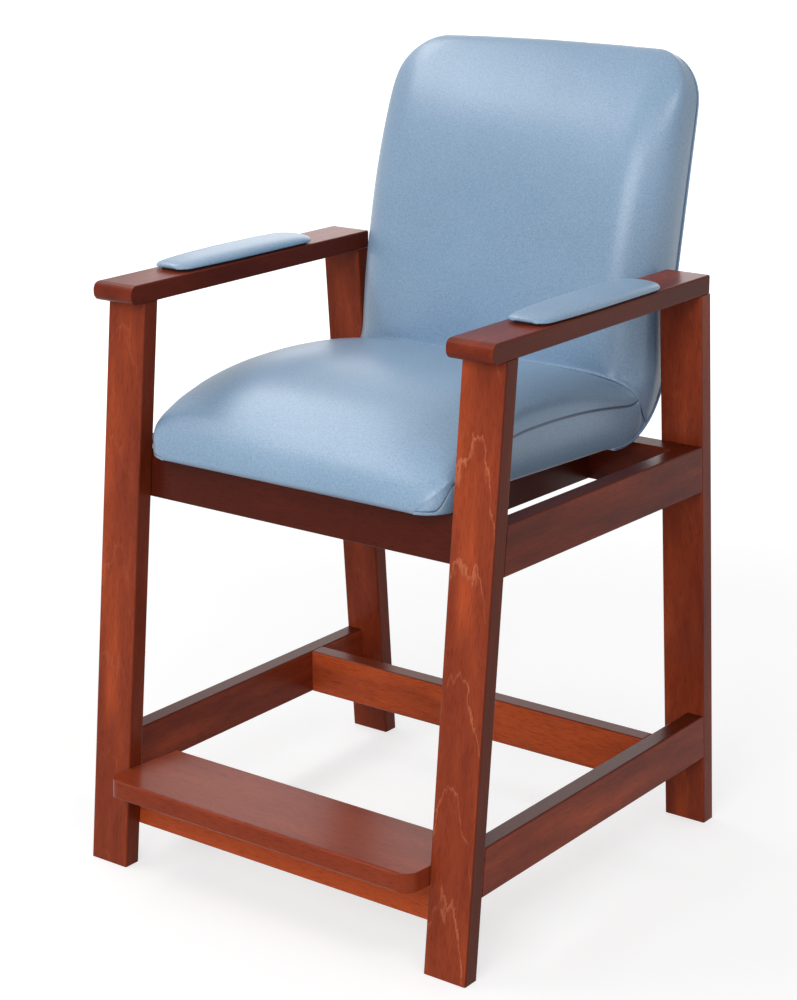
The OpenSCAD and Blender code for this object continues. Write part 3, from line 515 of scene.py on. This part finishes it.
# Profiles of the cushions: half sections from the lower edge to the middle
SEAM_STEP = 0.5           # rise from a seam's groove to the row above it
SEAM_DEPTH = 3.0
SEAM_BELOW = 4.5          # the seam lies at least this far below the crown's side
SEAM_ABOVE = 4.5          # and this far above the lower edge
SIDE_BOW = 2.0
FIRST_ROW = 1.5           # height of the first row above the lower edge
TUCK = 1.0                # how far the lower edge is tucked in
CREASE_R = 1.8
SLIT_DEPTH = 4.0
SLIT_SIDE = 0.5
SINK_REACH = 400.0        # the larger, the less a sunken crown is drawn in as well
EDGE_R = 38.0
EDGE_TIGHT_R = 26.0
EDGE_EASY_R = 60.0
EDGE_TURN = math.radians(40)
EDGE_REACH = 78           # degrees that the back's front edge turns at least
EDGE_MORE = 8             # and degrees more at full ease
CROWN_TURNS = [0.055, 0.11, 0.18, 0.26, 0.35, 0.46, 0.58, 0.72, 0.88, 1.05, 1.22, 1.40]
LOWER_ROWS = 7
UPPER_ROWS = 3
SEAT_WALL = LOWER_ROWS + 1 + UPPER_ROWS
SIDE_STEPS = 7            # rows of the back: its side, its edge and its face
EDGE_STEPS = 8
FACE_STEPS = 9
BACK_WALL = 14
INSIDE = 0.995            # keeps the inner points within the shell's width


def wall_x(h, w, low, side):
    """Half width of a cushion's side at height h: its middle bows out a little."""
    share = min(1.0, max(0.0, (h - low) / (side - low)))
    return w + SIDE_BOW * (math.sin(math.pi * share) - 1)


def seat_half(w, low, seam, side, mid, lead, power):
    """Half a section of the seat, from its lower edge over the seam to the middle."""
    seam = max(low + SEAM_ABOVE, min(side - SEAM_BELOW, seam))
    steps = LOWER_ROWS - 2
    rows = [low, low + FIRST_ROW]
    rows += [low + FIRST_ROW + (seam - SEAM_STEP - low - FIRST_ROW) * i / steps
             for i in range(1, steps + 1)]
    half = [(wall_x(h, w, low, side), h, 0.0) for h in rows]
    half[0] = (half[0][0] - TUCK, low, 0.0)
    half.append((wall_x(seam, w, low, side) - SEAM_DEPTH, seam, 0.0))
    for i in range(UPPER_ROWS):
        h = seam + SEAM_STEP + (side - seam - SEAM_STEP) * i / (UPPER_ROWS - 1)
        half.append((wall_x(h, w, low, side), h, 0.0))
    for turn in CROWN_TURNS + [RIGHT_ANGLE]:
        share = math.cos(turn)
        up = crown_share(share, power)
        half.append(((w - SIDE_BOW) * share, side + (mid - side) * up, lead * up))
    return half


def rounded_edge(turn, ease):
    """How far in and up the back's front edge has come: ease 0 is one radius, 1 is a tight
    radius that grows into an easy one."""
    tight = EDGE_R + (EDGE_TIGHT_R - EDGE_R) * ease
    easy = EDGE_R + (EDGE_EASY_R - EDGE_R) * ease
    first = min(turn, EDGE_TURN)
    into = tight * (1 - math.cos(first)) + easy * (math.cos(first) - math.cos(turn))
    up = tight * math.sin(first) + easy * (math.sin(turn) - math.sin(first))
    return into, up


def back_half(w, low, side, mid, lead, power, thin, ease):
    """Half a section of the back: its front edge is rounded over before the flat middle."""
    top_w = w - SIDE_BOW
    reach = math.radians(EDGE_REACH + EDGE_MORE * ease)
    into, up = rounded_edge(reach, ease)
    share = 1 - into / top_w
    edge_low = side + (mid - side) * crown_share(share, power) - up
    half = []
    for i in range(SIDE_STEPS + 1):
        h = low + (edge_low - low) * i / SIDE_STEPS
        half.append((wall_x(h, w, low, side), h))
    half[0] = (half[0][0] - TUCK, low)
    start = half[-1][0]
    for i in range(1, EDGE_STEPS + 1):
        into, up = rounded_edge(reach * i / EDGE_STEPS, ease)
        half.append((start - into * start / top_w, edge_low + up))
    last = half[-1][0]
    for i in range(1, FACE_STEPS + 1):
        across = share * math.cos(RIGHT_ANGLE * i / FACE_STEPS)
        half.append((last * across / share,
                     side + (mid - side) * crown_share(across, power)))
    rows = len(half) - 1
    return [(x, low + (h - low) * thin, lead * i / rows) for i, (x, h) in enumerate(half)]


def creased(half, wall, base_r, turn):
    """Rounds a section's skin inwards where it comes close to the neighbouring cushion."""
    rounded = []
    for i, (x, h, run) in enumerate(half):
        near = (base_r - h) * turn
        sink = 0.0
        if near < CREASE_R:
            sink = CREASE_R - math.sqrt(CREASE_R ** 2 - (CREASE_R - near) ** 2)
        if near < SLIT_SIDE:
            sink += SLIT_DEPTH * (1 - near / SLIT_SIDE)
        if i < wall:
            rounded.append((x - sink, h, run))
        else:
            rounded.append((x * (1 - sink / SINK_REACH), h - sink, run))
    return rounded


def section(base, tilt, half, wall, room, room_w):
    """A section that stands on the shell at base and leans back by tilt."""
    low = half[0][1]
    inner = [(room_w, low + (room - low) * i / (wall - 1), 0.0) for i in range(wall)]
    shrink = min(1.0, room_w * INSIDE / half[wall][0])
    inner += [(x * shrink, room, 0.0) for x, h, run in half[wall:]]

    def full(line):
        """Both halves of a line, placed on the shell."""
        right = [(x, base[0] - h * math.sin(tilt) + run * math.cos(tilt),
                  base[1] + h * math.cos(tilt) + run * math.sin(tilt)) for x, h, run in line]
        left = [(-x, y, z) for x, y, z in right[-2::-1]]
        return [place(*p) for p in right + left]
    return full(half), full(inner)


# Seat cushion
ROOM = SHELL_T + GAP
ROOM_W = SHELL_HALF_W + GAP
LIP_DROP = 9.0
SEAM_END_Y = 224.6        # the side seam reaches the lower edge this far in front
SEAM_FALL = 2.06          # and falls this steeply to it
NOSE_POWER = 3.6          # how square the crown is at the front edge
MEET_POWER = 5.5          # and where the seat meets the back
NOSE_START = math.radians(2.5)
SHUT_T = 0.5              # thickness of the skin where it doesn't reach over the shell
SIDE_T = 6.0              # least thickness of its sides
SHUT_SIDE_T = 8.0
DIP_Y = 140.0             # the lower edge starts to dip here
OPENING = 0.002           # angle from the last shut section to the first open one
BUNCH = 2.2               # how closely the sections bunch up where seat and back meet
NOSE_BUNCH = 1.2
SHUT_STEPS = 7            # sections in front of the shell, round the nose above it, along the
NOSE_STEPS = 16           # flat and in the bend
FLAT_STEPS = 14
BEND_STEPS = 16


def nose_station(angle, room_open):
    """A section round the long front nose of the seat."""
    reach = SEAT_FRONT - PEAK_Y
    mid_reach = reach + FRONT_BOW + PEAK_Y / 2
    y = -PEAK_Y - reach * math.cos(angle)
    mid_y = -PEAK_Y / 2 - mid_reach * math.cos(angle)
    z = shell_under(y)
    low = max(-SKIRT, SEAT_LOW - z)
    room = ROOM if room_open else low + SHUT_T
    w = corner_width(y + SEAT_FRONT, SEAT_CORNER_R, HALF_W)
    seam = SEAT_LOW - z + SEAM_FALL * (y + SEAM_END_Y)
    half = seat_half(w, low, seam, SEAT_LOW + SEAM_RISE * math.sin(angle) - z,
                     SEAT_LOW + CROWN_RISE * math.sin(angle) - z, mid_y - y, NOSE_POWER)
    return section((y, z), 0.0, half, SEAT_WALL, room, min(ROOM_W, w - SIDE_T))


def seat_station(share):
    """A section between the seat's highest place and the bend."""
    run = BEND_Y + PEAK_Y
    y = -PEAK_Y + run * share
    mid_y = -PEAK_Y / 2 + (run - PEAK_Y / 2) * share
    z = shell_under(y)
    dip = min(1.0, max(0.0, (y - DIP_Y) / (BEND_Y - DIP_Y)))
    low = -SKIRT - (LIP_DROP - SKIRT) * dip * dip * (3 - 2 * dip)
    side = SEAT_LOW + SEAM_RISE - fall(y + PEAK_Y, SEAM_ARC_R) - z
    mid = SEAT_LOW + CROWN_RISE - fall(mid_y + PEAK_Y / 2, CROWN_ARC_R) - z
    half = seat_half(HALF_W, low, side, side, mid, mid_y - y,
                     NOSE_POWER + (MEET_POWER - NOSE_POWER) * share)
    return section((y, z), 0.0, half, SEAT_WALL, ROOM, ROOM_W)


SEAT_END_SIDE = SEAT_LOW + SEAM_RISE - fall(BEND_Y + PEAK_Y, SEAM_ARC_R) - BEND_Z
SEAT_END_MID = SEAT_LOW + CROWN_RISE - fall(BEND_Y + PEAK_Y / 2, CROWN_ARC_R) - BEND_Z
SLIT = 0.15 / BEND_R
ROUND_START = math.radians(23)
GUSSET_RISE = 11.0
GUSSET_CURL = 34.0
GUSSET_POWER = 2.5
GUSSET_T = 6.0


def gusset_low(angle):
    """Lower edge of the seat's side panel round the bend, where it is cut to a round corner."""
    rise = GUSSET_RISE * angle / ROUND_START
    late = max(0.0, angle - ROUND_START) / (MEET_ANGLE - ROUND_START)
    return -LIP_DROP + rise + GUSSET_CURL * late ** GUSSET_POWER


def seat_bend_station(angle):
    """A section of the seat cushion in the bend."""
    share = angle / MEET_ANGLE
    side = SEAT_END_SIDE + (MEET_SIDE - SEAT_END_SIDE) * share
    mid = SEAT_END_MID + (MEET_MID - SEAT_END_MID) * share
    low = min(gusset_low(angle), side - GUSSET_T)
    half = seat_half(HALF_W, low, side, side, mid, 0.0, MEET_POWER)
    half = creased(half, SEAT_WALL, BEND_R, MEET_ANGLE - angle)
    return section(bend_point(angle), angle, half, SEAT_WALL, ROOM, ROOM_W)


def seat_sections():
    """The seat cushion's sections, from its nose back to where it meets the back."""
    opening = math.acos((SHELL_FRONT + GAP - PEAK_Y) / (SEAT_FRONT - PEAK_Y))
    shut_turn = opening - OPENING - NOSE_START
    before = [NOSE_START + shut_turn * (i / SHUT_STEPS) ** NOSE_BUNCH
              for i in range(SHUT_STEPS + 1)]
    after = [opening + (RIGHT_ANGLE - opening) * i / NOSE_STEPS for i in range(NOSE_STEPS + 1)]
    stations = [nose_station(a, False) for a in before]
    stations += [nose_station(a, True) for a in after]
    stations += [seat_station(i / FLAT_STEPS) for i in range(1, FLAT_STEPS + 1)]
    for i in range(1, BEND_STEPS + 1):
        share = 1 - (1 - i / BEND_STEPS) ** BUNCH
        stations.append(seat_bend_station((MEET_ANGLE - SLIT) * share))
    return stations


# Back cushion
BACK_END_SIDE = BACK_SIDE - fall(SWELL_L, BACK_ARC_R)
COVER_T = 5.0             # thickness of the vinyl and its wadding
SHELL_L = BACK_L - COVER_T - SKIRT
SHELL_IN = 10.0           # how far the shell's sides stand in from the cushions' sides
SHELL_CORNER_R = BACK_CORNER_R - SHELL_IN
BACK_POWER = 4.0
LAST_TURN = math.radians(87)
TOP_OPENING = 0.004       # angle from the last open section to the first shut one
LOW_STEPS = 15            # sections in the bend, to the full thickness, to the shell's top
RISE_STEPS = 9            # and above it
TOP_STEPS = 16
RIM_STEPS = 5


def low_back_station(angle):
    """A section of the back cushion in the bend."""
    share = (angle - MEET_ANGLE) / (BACK_ANGLE - MEET_ANGLE)
    side = MEET_SIDE + (BACK_END_SIDE - MEET_SIDE) * share
    mid = MEET_MID + (BACK_END_SIDE + CROWN_LOW - MEET_MID) * share
    half = back_half(HALF_W, -SKIRT, side, mid, 0.0,
                     MEET_POWER + (BACK_POWER - MEET_POWER) * share, 1.0, share)
    half = creased(half, BACK_WALL, BEND_R, angle - MEET_ANGLE)
    return section(bend_point(angle), angle, half, BACK_WALL, ROOM, ROOM_W)


def back_station(length, thin, room_open):
    """A section of the back cushion above the bend, thinned towards its top edge."""
    w = corner_width(BACK_L - length, BACK_CORNER_R, HALF_W)
    side = BACK_SIDE - fall(max(0.0, SWELL_L - length), BACK_ARC_R)
    up = min(1.0, length / SWELL_L)
    crown = CROWN_LOW + (CROWN_HIGH - CROWN_LOW) * up
    low = -SKIRT
    shell_w = corner_width(SHELL_L + GAP - length, SHELL_CORNER_R, SHELL_HALF_W)
    room = ROOM if room_open else low + SHUT_T
    room_w = min(shell_w + GAP, w - SIDE_T) if room_open else min(w - SHUT_SIDE_T, ROOM_W)
    half = back_half(w, low, side, side + crown, TOP_BOW * (1 - thin), BACK_POWER, thin, 1.0)
    return section(back_point(length), BACK_ANGLE, half, BACK_WALL, room, room_w)


def back_sections():
    """The back cushion's sections, from where it meets the seat up to its top edge."""
    arc_l = BACK_L - SWELL_L
    shut = math.asin((SHELL_L - SWELL_L) / arc_l)
    bend = BACK_ANGLE - MEET_ANGLE - SLIT
    stations = [low_back_station(MEET_ANGLE + SLIT + bend * (i / LOW_STEPS) ** BUNCH)
                for i in range(LOW_STEPS + 1)]
    stations += [back_station(SWELL_L * i / RISE_STEPS, 1.0, True)
                 for i in range(1, RISE_STEPS + 1)]
    for i in range(1, TOP_STEPS + 1):
        turn = shut * i / TOP_STEPS
        stations.append(back_station(SWELL_L + arc_l * math.sin(turn), math.cos(turn), True))
    for i in range(RIM_STEPS + 1):
        turn = shut + TOP_OPENING + (LAST_TURN - shut - TOP_OPENING) * i / RIM_STEPS
        stations.append(back_station(SWELL_L + arc_l * math.sin(turn), math.cos(turn), False))
    return stations


# Ears: the back cover's sides below the seat's rounded corner, down to the panel's lip
EAR_START = math.radians(10)
EAR_END = MEET_ANGLE + math.radians(1.5)
EAR_STEPS = 12
EAR_IN = 4.5              # how far its outside lies within the seat's side
EAR_ROOM = 0.2
EAR_UNDER = 2.0           # how far it reaches past the covers' lower edges
EAR_HIGH = 39.0
EAR_GAP = 0.4             # to the seat's side panel above it
EAR_LEAST_H = 1.0
EAR_MARKS = (0.0, 0.15, 0.5, 0.85, 1.0)    # shares of its height


def ear_sections(side):
    """Sections of the strip of back cover on one side of the chair."""
    sections = []
    for i in range(EAR_STEPS + 1):
        angle = EAR_START + (EAR_END - EAR_START) * i / EAR_STEPS
        low = -SKIRT - EAR_UNDER
        high = min(gusset_low(min(angle, MEET_ANGLE - SLIT)), EAR_HIGH) - EAR_GAP
        outer, inner = [], []
        for share in EAR_MARKS:
            h = low + max(EAR_LEAST_H, high - low) * share
            for line, x in ((outer, HALF_W - EAR_IN), (inner, ROOM_W + EAR_ROOM)):
                y, z = bend_point(angle, BEND_R - h)
                line.append(place(side * x, y, z))
        sections.append((outer, inner))
    return sections


# Back panel: the vinyl on the shell's back, rolled at its edges, with a padded lip below
PANEL_FRONT = 150.0
PANEL_THIN = 2.7
PANEL_BACK = 6.0
PANEL_LIP = LIP_DROP + 0.6
PANEL_IN = 1.0            # how far its sides lie within the cushions' sides
PANEL_W = HALF_W - PANEL_IN
PANEL_MARKS = [0.0, 0.5, 0.72, 0.84, 0.93, 0.97, 0.99]    # shares of its half width
ROLL_START = 0.72         # the rolled edge starts at this share
ROLL_WIDTH = 0.14
EDGE_START = 0.95         # and the covers' sides begin at this one
PANEL_GAP = 0.35
PANEL_LEAST_T = 0.6
PANEL_TIP = 0.8
PANEL_TOP = 1.5           # how far its top lies below the back's, and how much it thins there
PANEL_THINNING = 8        # how late it thins
PANEL_LIP_STEPS = 6
PANEL_BEND_STEPS = 16
PANEL_BACK_STEPS = 24
LIP_SWELL_STEPS = 4       # steps in which the lip swells to its full thickness in front
LIP_FADE_STEPS = 7        # and in which it fades into the bend
THICKEN_STEPS = 8         # last steps of the bend, in which the panel's middle thickens


def panel_station(base, tilt, w, edge_depth, mid_depth):
    """A section of the panel behind the shell, thicker towards its edges if need be."""
    outer, inner = [], []
    half = []
    for mark in PANEL_MARKS:
        rise = min(1.0, max(0.0, (mark - ROLL_START) / ROLL_WIDTH))
        depth = mid_depth + (edge_depth - mid_depth) * rise * rise * (3 - 2 * rise)
        step = -PANEL_GAP if mark < EDGE_START else -SKIRT - GAP
        half.append((mark * w, min(-depth, step - PANEL_LEAST_T), step))
    half.append((w, -SKIRT - PANEL_TIP - PANEL_LEAST_T, -SKIRT - PANEL_TIP))
    for x, deep, near in [(-x, d, n) for x, d, n in half[:0:-1]] + half:
        for line, h in ((outer, deep), (inner, near)):
            line.append(place(x, base[0] - h * math.sin(tilt), base[1] + h * math.cos(tilt)))
    return outer, inner


def panel_sections():
    """The panel's sections, from its padded lip under the seat up to the back's top."""
    sections = []
    for i in range(PANEL_LIP_STEPS + 1):
        y = PANEL_FRONT + (BEND_Y - PANEL_FRONT) * i / PANEL_LIP_STEPS
        share = math.sin(RIGHT_ANGLE * min(1.0, (i + 0.5) / LIP_SWELL_STEPS))
        edge = PANEL_THIN + (PANEL_LIP - PANEL_THIN) * share
        sections.append(panel_station((y, shell_under(y)), 0.0, PANEL_W, edge, PANEL_THIN))
    for i in range(1, PANEL_BEND_STEPS + 1):
        angle = BACK_ANGLE * i / PANEL_BEND_STEPS
        share = min(1.0, i / LIP_FADE_STEPS)
        edge = PANEL_LIP + (PANEL_BACK - PANEL_LIP) * share
        late = max(0.0, (i - PANEL_BEND_STEPS + THICKEN_STEPS) / THICKEN_STEPS)
        mid = PANEL_THIN + (PANEL_BACK - PANEL_THIN) * late
        sections.append(panel_station(bend_point(angle), angle, PANEL_W, edge, mid))
    for i in range(1, PANEL_BACK_STEPS + 1):
        length = (BACK_L - PANEL_TOP) * math.sin(RIGHT_ANGLE * i / PANEL_BACK_STEPS)
        w = corner_width(BACK_L - length, BACK_CORNER_R, HALF_W) - PANEL_IN
        depth = PANEL_BACK - PANEL_TOP * (i / PANEL_BACK_STEPS) ** PANEL_THINNING
        sections.append(panel_station(back_point(length), BACK_ANGLE, w, depth, depth))
    return sections


# Arm pads
PAD_L = 273.0
PAD_W = 69.0
PAD_FRONT_W = 57.0
PAD_FRONT = 128.0
PAD_FRONT_R = 17.0
PAD_REAR_ROUND = 0.8      # rear corners' radius, as a share of half the width
PAD_RISE = 11.0
PAD_STEPS = 30
PAD_END = math.radians(4)
PAD_DOME = 0.4            # the smaller, the flatter the pad is along its middle
PAD_INSIDE = 0.93         # the underside's width, as a share of the top's
PAD_RIM = 0.9             # the underside is hollow within this share of the width
PAD_HOLLOW = 0.35
PAD_MARKS = [(0.0, 0.985), (0.18, 1.0), (0.36, 0.985), (0.53, 0.94), (0.68, 0.86),
             (0.79, 0.76), (0.88, 0.63), (0.94, 0.47), (0.98, 0.26), (1.0, 0.0)]
ARM_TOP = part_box("arm_left")[1].z / MM
PAD_LIFT = 3.0
PAD_X = (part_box("arm_pad_left")[0].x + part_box("arm_pad_left")[1].x) / 2 / MM


def pad_half(share):
    """Half of an arm pad's width along its length, squarer in front than behind."""
    full = PAD_FRONT_W / 2 + (PAD_W - PAD_FRONT_W) / 2 * math.sin(
        min(RIGHT_ANGLE, math.pi * share))
    return min(corner_width(share * PAD_L, PAD_FRONT_R, full),
               corner_width((1 - share) * PAD_L, PAD_REAR_ROUND * full, full))


def pad_sections(side):
    """The sections of an arm pad, from its front end to its rear end."""
    sections = []
    for i in range(PAD_STEPS + 1):
        angle = PAD_END + (math.pi - 2 * PAD_END) * i / PAD_STEPS
        share = (1 - math.cos(angle)) / 2
        up = PAD_RISE * math.sin(angle) ** PAD_DOME
        w = pad_half(share)
        y = -PAD_FRONT + PAD_L * share
        right = [(w * across, up * high) for high, across in PAD_MARKS]
        outer = right + [(-x, h) for x, h in right[-2::-1]]
        inner = [(x * PAD_INSIDE, 0.0 if abs(x) > PAD_RIM * w else PAD_HOLLOW) for x, h in outer]
        sections.append(tuple(
            [place(side * (PAD_X + x), y, ARM_TOP + PAD_LIFT + h) for x, h in line]
            for line in (outer, inner)))
    return sections


# Stuffing: air pressure under held seams
SWELL_CAP = 3 * MM
SWELL_FRAMES = 20
SEAT_CALM = (14, 16)      # sections at the seat's first and last end that swell less
BACK_CALM = (16, 14)      # and at the back's
EVEN_PASSES = 6
EVEN_ENDS = (8, 2)        # sections at the back's ends that aren't evened out


def swell(jobs):
    """Cloth simulation: each (piece, held, calm) swells between its held points, by SWELL_CAP
    at most, and not at all where calm is 0."""
    rest = {}
    for piece, held, calm in jobs:
        rest[piece.name] = np.array([v.co for v in piece.data.vertices])
        group = piece.vertex_groups.new(name="held")
        group.add(held, 1.0, "REPLACE")
        cloth = piece.modifiers.new("cloth", "CLOTH")
        cloth.settings.quality = 6
        cloth.settings.mass = 0.3
        cloth.settings.tension_stiffness = 20
        cloth.settings.compression_stiffness = 20
        cloth.settings.bending_stiffness = 1.0
        cloth.settings.use_pressure = True
        cloth.settings.uniform_pressure_force = 4
        cloth.settings.vertex_group_mass = "held"
        cloth.settings.effector_weights.gravity = 0
        cloth.collision_settings.use_collision = False
        cloth.point_cache.frame_start = 1
        cloth.point_cache.frame_end = SWELL_FRAMES
    for step in range(1, SWELL_FRAMES + 1):
        scene.frame_set(step)
    depsgraph = bpy.context.evaluated_depsgraph_get()
    for piece, held, calm in jobs:
        moved = piece.evaluated_get(depsgraph).to_mesh()
        now = np.array([v.co for v in moved.vertices])
        piece.evaluated_get(depsgraph).to_mesh_clear()
        push = now - rest[piece.name]
        size = np.linalg.norm(push, axis=1, keepdims=True)
        limited = push * (SWELL_CAP * np.tanh(size / SWELL_CAP) / np.maximum(size, 1e-9))
        limited *= np.array(calm)[:, None]
        for vertex, point in zip(piece.data.vertices, rest[piece.name] + limited):
            vertex.co = point
        piece.modifiers.clear()
        piece.vertex_groups.clear()
    scene.frame_set(1)


def held_points(sections, seam):
    """Numbers of the points that the stuffing can't move: edges, seams and the inside."""
    held = []
    outer = len(sections[0][0])
    count = 2 * outer
    fixed = [0, 1, outer - 2, outer - 1] + list(range(outer, count))
    if seam:
        for row in range(LOWER_ROWS - 1, LOWER_ROWS + 2):
            fixed += [row, outer - 1 - row]
    for i in range(len(sections)):
        if i in (0, 1, len(sections) - 1):
            held += range(i * count, (i + 1) * count)
        else:
            held += [i * count + j for j in fixed]
    return held


def calm_ends(sections, first, last):
    """For each point 0 at a skin's ends, rising to 1 over the first and last sections."""
    count = 2 * len(sections[0][0])
    calm = []
    for i in range(len(sections)):
        share = min(1.0, i / first, (len(sections) - 1 - i) / last)
        calm += [share * share * (3 - 2 * share)] * count
    return calm


def even_out(piece, sections, held, first, last):
    """Moves a skin's free outer points towards the middle of their neighbours, but for the
    first and last sections."""
    outer = len(sections[0][0])
    points = np.array([v.co for v in piece.data.vertices]).reshape(len(sections), 2 * outer, 3)
    free = np.ones(points.shape[:2], bool)
    free.flat[held] = False
    free[:first] = False
    free[-last:] = False
    for _ in range(EVEN_PASSES):
        even = points.copy()
        even[1:-1, 1:outer - 1] = (
            points[:-2, 1:outer - 1] + points[2:, 1:outer - 1]
            + points[1:-1, :outer - 2] + points[1:-1, 2:outer]) / 4
        points = np.where(free[..., None], (points + even) / 2, points)
    for vertex, point in zip(piece.data.vertices, points.reshape(-1, 3)):
        vertex.co = point


def make_upholstery():
    """The seat and back cushions, the panel behind them, the strips of back cover beside the
    seat, and the arm pads."""
    vinyl = upholstery_vinyl("embossed_upholstery_vinyl", "#8EAAC5", "#7895B1")
    seat_lines = seat_sections()
    back_lines = back_sections()
    seat = skin("seat_cushion", seat_lines, vinyl)
    back = skin("back_cushion", back_lines, vinyl)
    # Painted shade: a darker copy of the vinyl for the seam grooves and where seat and back
    # meet.
    seam_shade_vinyl = upholstery_vinyl("vinyl_with_painted_seam_shade", "#586C83", "#485B71")
    far = len(seat_lines[0][0]) - 1 - LOWER_ROWS
    paint_seam_shade(seat, seat_lines, (LOWER_ROWS - 1, LOWER_ROWS, far - 1, far), [-1], seam_shade_vinyl)
    paint_seam_shade(back, back_lines, (), [0], seam_shade_vinyl)
    panel = skin("back_panel_cover", panel_sections(), vinyl)
    ears = [skin("back_cover_side_" + name, ear_sections(side), vinyl)
            for name, side in (("left", 1), ("right", -1))]
    pads = [skin("arm_pad_cushion_" + name, pad_sections(side), vinyl)
            for name, side in (("left", 1), ("right", -1))]
    swell([
        (seat, held_points(seat_lines, seam=True), calm_ends(seat_lines, *SEAT_CALM)),
        (back, held_points(back_lines, seam=False), calm_ends(back_lines, *BACK_CALM))])
    even_out(back, back_lines, held_points(back_lines, seam=False), *EVEN_ENDS)
    for piece in [seat, back, panel] + ears + pads:
        round_off(piece)
        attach(piece, "root")
    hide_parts("seat_cover", "seat_foam")
    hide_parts("back_cover", "back_foam")
    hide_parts("back_panel")
    for piece, node in zip(pads, ("arm_pad_left", "arm_pad_right")):
        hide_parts(node)


# Floor, background and lamps
def seen_rays(tree):
    """1 for what the camera sees directly, mirrored or through something, otherwise 0."""
    path = add_node(tree, "ShaderNodeLightPath")
    first = add_node(tree, "ShaderNodeMath", {
        0: path.outputs["Is Camera Ray"], 1: path.outputs["Is Glossy Ray"]}, operation="MAXIMUM")
    both = add_node(tree, "ShaderNodeMath", {
        0: first.outputs["Value"], 1: path.outputs["Is Transmission Ray"]}, operation="MAXIMUM")
    return both.outputs["Value"]


# Floor painted matt white: no sheen, only the chair's soft shadow. To the camera it glows a
# little less near the chair, so that the shadow shows.
FLOOR_REACH = 40.0
FLOOR_DROP = 0.0005
FLOOR_GLOW = 0.64         # up to this distance from the middle, in metres
FLOOR_NEAR = 1.0
FLOOR_FAR = 3.0           # and full white from this one on


def make_floor():
    """A plain pale floor that stays white to the camera but keeps the chair's shadow."""
    material, tree, shader = new_material("matt_painted_floor")
    shader.inputs["Base Color"].default_value = colour("#AEAEAE")
    shader.inputs["Roughness"].default_value = 0.9
    seen = seen_rays(tree)
    where = add_node(tree, "ShaderNodeTexCoord").outputs["Object"]
    away = add_node(tree, "ShaderNodeVectorMath", {0: where}, operation="LENGTH")
    level = add_node(tree, "ShaderNodeMapRange", {
        "Value": away.outputs["Value"], "From Min": FLOOR_NEAR, "From Max": FLOOR_FAR,
        "To Min": FLOOR_GLOW, "To Max": 1.0}, interpolation_type="SMOOTHSTEP")
    glow = add_node(tree, "ShaderNodeMath", {0: seen, 1: level.outputs["Result"]},
                    operation="MULTIPLY")
    shader.inputs["Emission Color"].default_value = colour("#FFFFFF")
    tree.links.new(glow.outputs["Value"], shader.inputs["Emission Strength"])
    data = bpy.data.meshes.new("floor")
    corners = [(-1, -1), (1, -1), (1, 1), (-1, 1)]
    data.from_pydata([(FLOOR_REACH * x, FLOOR_REACH * y, 0) for x, y in corners], [],
                     [(0, 1, 2, 3)])
    floor = bpy.data.objects.new("floor", data)
    floor.location.z = -FLOOR_DROP
    scene.collection.objects.link(floor)
    dress(floor, material)


FILL_LIGHT = 0.34


def make_world():
    """White to the camera and in reflections, and a plain fill light for everything else."""
    world = bpy.data.worlds.new("studio")
    world.use_nodes = True
    scene.world = world
    tree = world.node_tree
    tree.nodes.clear()
    fill = add_node(tree, "ShaderNodeBackground", {
        "Color": colour("#FFFFFF"), "Strength": FILL_LIGHT})
    white = add_node(tree, "ShaderNodeBackground", {
        "Color": colour("#FFFFFF"), "Strength": 1.0})
    mix = add_node(tree, "ShaderNodeMixShader", {
        0: seen_rays(tree), 1: fill.outputs["Background"], 2: white.outputs["Background"]})
    add_node(tree, "ShaderNodeOutputWorld", {"Surface": mix.outputs["Shader"]})


def add_lamp(name, where, towards, size, power):
    """A square softbox that faces a point."""
    data = bpy.data.lights.new(name, "AREA")
    data.shape = "RECTANGLE"
    data.size, data.size_y = size
    data.energy = power
    lamp = bpy.data.objects.new(name, data)
    lamp.location = where
    lamp.rotation_euler = (Vector(where) - Vector(towards)).to_track_quat("Z", "Y").to_euler()
    lamp.visible_camera = False
    scene.collection.objects.link(lamp)


def make_lamps():
    """A long softbox high on the far side, a big one in front with a low one under it, one high
    on the near side, and a wash behind."""
    add_lamp("high", (-1.95, -0.4, 3.1), (0, 0, 0.7), (3.6, 0.6), 40)
    add_lamp("front", (0.7, -2.9, 2.1), (0, 0, 0.7), (1.7, 1.7), 45)
    add_lamp("low", (0.9, -2.0, 0.40), (0, 0, 0.2), (1.2, 0.4), 4)
    add_lamp("side", (2.0, -1.15, 3.0), (0.1, 0, 0.6), (1.2, 0.8), 18)
    add_lamp("wash", (-1.7, 3.1, 1.7), (0, 0, 0.7), (2.4, 1.2), 12)


make_camera()
finish_frame()
make_upholstery()
make_floor()
make_world()
make_lamps()
scene.view_settings.view_transform = "Standard"
